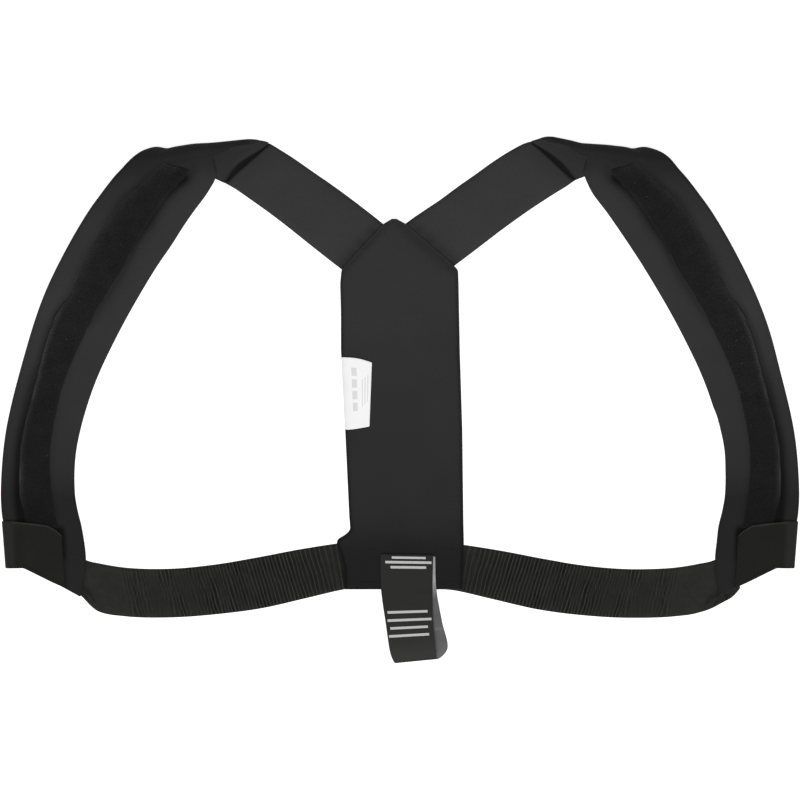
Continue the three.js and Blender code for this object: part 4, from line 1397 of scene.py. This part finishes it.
# %% Elastics' loose corners
BAGGING = {"left": 1.2, "right": 2.8}
for side, pieces in SIDES.items():
    places = in_pattern(pieces["elastic"])
    outward, righthand, down = np.abs(places[:, 0]), places[:, 0] > 0, -places[:, 1]
    slack = righthand * ramp(outward, 238, 264) * ramp(down, 126, 150)
    bag = BAGGING[side] * bell(outward - 255, 9) * ramp(down, 138, 152)
    tucked = righthand * 2.4 * ramp(outward, 258, 267) * ramp(down, 140, 148)
    places[:, 1] -= 3.6 * slack + bag - tucked + righthand * (1 - ramp(outward, 130, 215))
    places[:, 0] += 7.0 * slack
    from_pattern(pieces["elastic"], places)
print("elastics bag by", BAGGING, "mm")

# %% [markdown]
# ## The panel's edge on the yokes
# The peak is sewn down on the yokes, so its slanted edges press a crinkled valley into them. The finished
# yokes are lowered along those edges, because the simulation holds them flat there, and shade is painted
# into the valley.

# %% Press the panel's edge into the yokes
PEAK_EDGES = {"left": [(13.3, 141.0), (46.7, 104.0)], "right": [(4.7, 141.0), (46.5, 104.0)]}  # x is outward
CRINKLE_SEED = 23


def press_edge(yoke, edge):
    """Sink the yoke under and beside the panel's slanted edge, with small crinkles, and paint shade into the
    valley.
    """
    places = in_pattern(yoke)
    start, end = np.array(edge)
    run = (end - start) / np.linalg.norm(end - start)
    from_start = np.column_stack([np.abs(places[:, 0]), places[:, 1]]) - start
    past, along = from_start @ np.array([-run[1], run[0]]), from_start @ run
    crinkle = ripple(np.column_stack([along, past / 4, 0 * along]), 5.5, CRINKLE_SEED)
    valley = np.where(past < 2, 1.0, bell(past - 2, 6.0))
    places[:, 2] *= 1 - valley * (0.26 + 0.14 * ramp(-past, 1, 6) + 0.16 * crinkle * (past > 0))
    from_pattern(yoke, places)
    painted_shade = yoke.data.attributes["painted_shade"].data
    dark = np.empty(len(places), np.float32)
    painted_shade.foreach_get("value", dark)
    # painted shade in the valley, patchy along the crinkles
    darker = np.clip(dark + 0.25 * valley * (1 + 0.7 * crinkle), 0, 0.9)
    painted_shade.foreach_set("value", darker.astype(np.float32))
    return int((valley > 0.5).sum())


for side, pieces in SIDES.items():
    print("painted_shade", side, press_edge(pieces["yoke"], PEAK_EDGES[side]), "points")

# %% [markdown]
# ## Stitches
# Black thread holds the tape, the hem, the hook tab and the hanging label. One stitch is a small drawn-out
# ball of thread, modelled once and copied along each sewing line.

# %% One stitch and its thread
thread, shader = new_finish("black_thread", roughness=0.8, specular=0.08)
strands = speckle(thread, scale=2600.0, detail=1.0)
feed(thread, shader, Base_Color=grey_ramp(thread, strands, (0.3, 0.0045), (0.7, 0.0080)))
feed(thread, shader, Roughness=spread(thread, strands, low=0.7, high=0.85))
feed(thread, shader, Normal=bump(thread, strands, strength=0.4, depth=0.0001))
bpy.ops.object.select_all(action="DESELECT")
bpy.ops.mesh.primitive_uv_sphere_add(segments=6, ring_count=4, radius=0.5, rotation=(0, math.pi / 2, 0))
one_stitch = bpy.context.object
bpy.ops.object.transform_apply(location=True, rotation=True, scale=True)
stitch_faces = len(one_stitch.data.polygons)
print("one stitch:", stitch_faces, "faces")

# %% Sewing helper
def on_line(line, walked, at):
    return np.column_stack([np.interp(at, walked, line[:, k]) for k in (0, 1)])


def sew(name, piece, lines, side, pitch=3.0, size=(2.3, 0.5, 0.42)):
    """Stitches along lines in plan, in mm, on the upper side of a piece."""
    centres, runs = [], []
    for line in lines:
        line = np.array(line, float)[:, :2] * np.array([-1.0 if side == "left" else 1.0, 1.0])
        walked = walk(line)
        at = np.arange(pitch / 2, walked[-1], pitch)
        centres.append(on_line(line, walked, at))
        runs.append(on_line(line, walked, at + 0.5) - on_line(line, walked, at - 0.5))
    centres, runs = np.vstack(centres), np.vstack(runs)
    starts = (np.column_stack([centres, np.full(len(centres), ABOVE_ALL)]) + PATTERN_SHIFT) * MM
    places, normals, met = touch_down(piece, starts)
    along = unit(np.column_stack([runs, np.zeros(len(runs))])[met])
    seam = sow(one_stitch, name, places, along, normals, np.tile(np.array(size), (len(places), 1)))
    seam.data.materials.append(thread)
    return seam


def line_along(route, first, last, share, count):
    return route(np.linspace(first, last, count), np.full(count, share))


print("sewing helper ready")

# %% Sew
HEM_SEAM, HEM_TOP = -145.6, -119
HEM_LINES = [
    [(-41, HEM_SEAM), (-18, HEM_SEAM)], [(31.5, HEM_SEAM), (47.5, HEM_SEAM)],
    [(-43, HEM_TOP), (-18, HEM_TOP)], [(31.5, HEM_TOP), (48, HEM_TOP)],
]
LABEL_LINES = [[(-14.6, -123.9), (25.6, -124.6)]]
tape_lines = [line_along(tape_route, 0.15, TAPE_END - 0.2, share, 240) for share in (0.055, 0.945)]
tab_lines = [line_along(tab_route, 0.12, TAB_TURN_ROW - 0.45, share, 60) for share in (0.95, 0.04)]
seams = []
for side, pieces in SIDES.items():
    seams.append((sew(f"tape_stitches_{side}", pieces["tape"], tape_lines, side), "loop_pile"))
    seams.append((sew(f"tab_stitches_{side}", pieces["tab"], tab_lines, side), "hook_tab"))
seams.append((sew("hem_stitches", panel, HEM_LINES, "right"), "neoprene"))
label_seam = sew("hang_label_stitches", hang, LABEL_LINES, "right", pitch=2.4, size=(1.8, 0.4, 0.35))
seams.append((label_seam, "label_black"))
bpy.data.objects.remove(one_stitch)
print("stitches:", {seam.name: len(seam.data.polygons) // stitch_faces for seam, _ in seams})

# %% [markdown]
# ## Saying what each piece is
# Each piece rides on the brace's one body and replaces its CAD solid, which is hidden.

# %% Declarations
def declare(piece, node):
    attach(piece, "root")
    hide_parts(node)


SIDE_NODES = {
    "yoke": ("yoke_strap", "neoprene"), "pad": ("shoulder_pad", "neoprene"),
    "tape": ("loop_tape", "loop_pile"), "tab": ("hook_tab", "hook_tab"),
    "elastic": ("side_elastic", "elastic"),
}
declare(panel, "back_panel")
declare(hang, "hang_label")
declare(care, "care_label")
for side, pieces in SIDES.items():
    for name, (node, slot) in SIDE_NODES.items():
        declare(pieces[name], f"{node}_{side}")
    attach(pieces["pile"], "root")
for seam, slot in seams:
    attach(seam, "root")
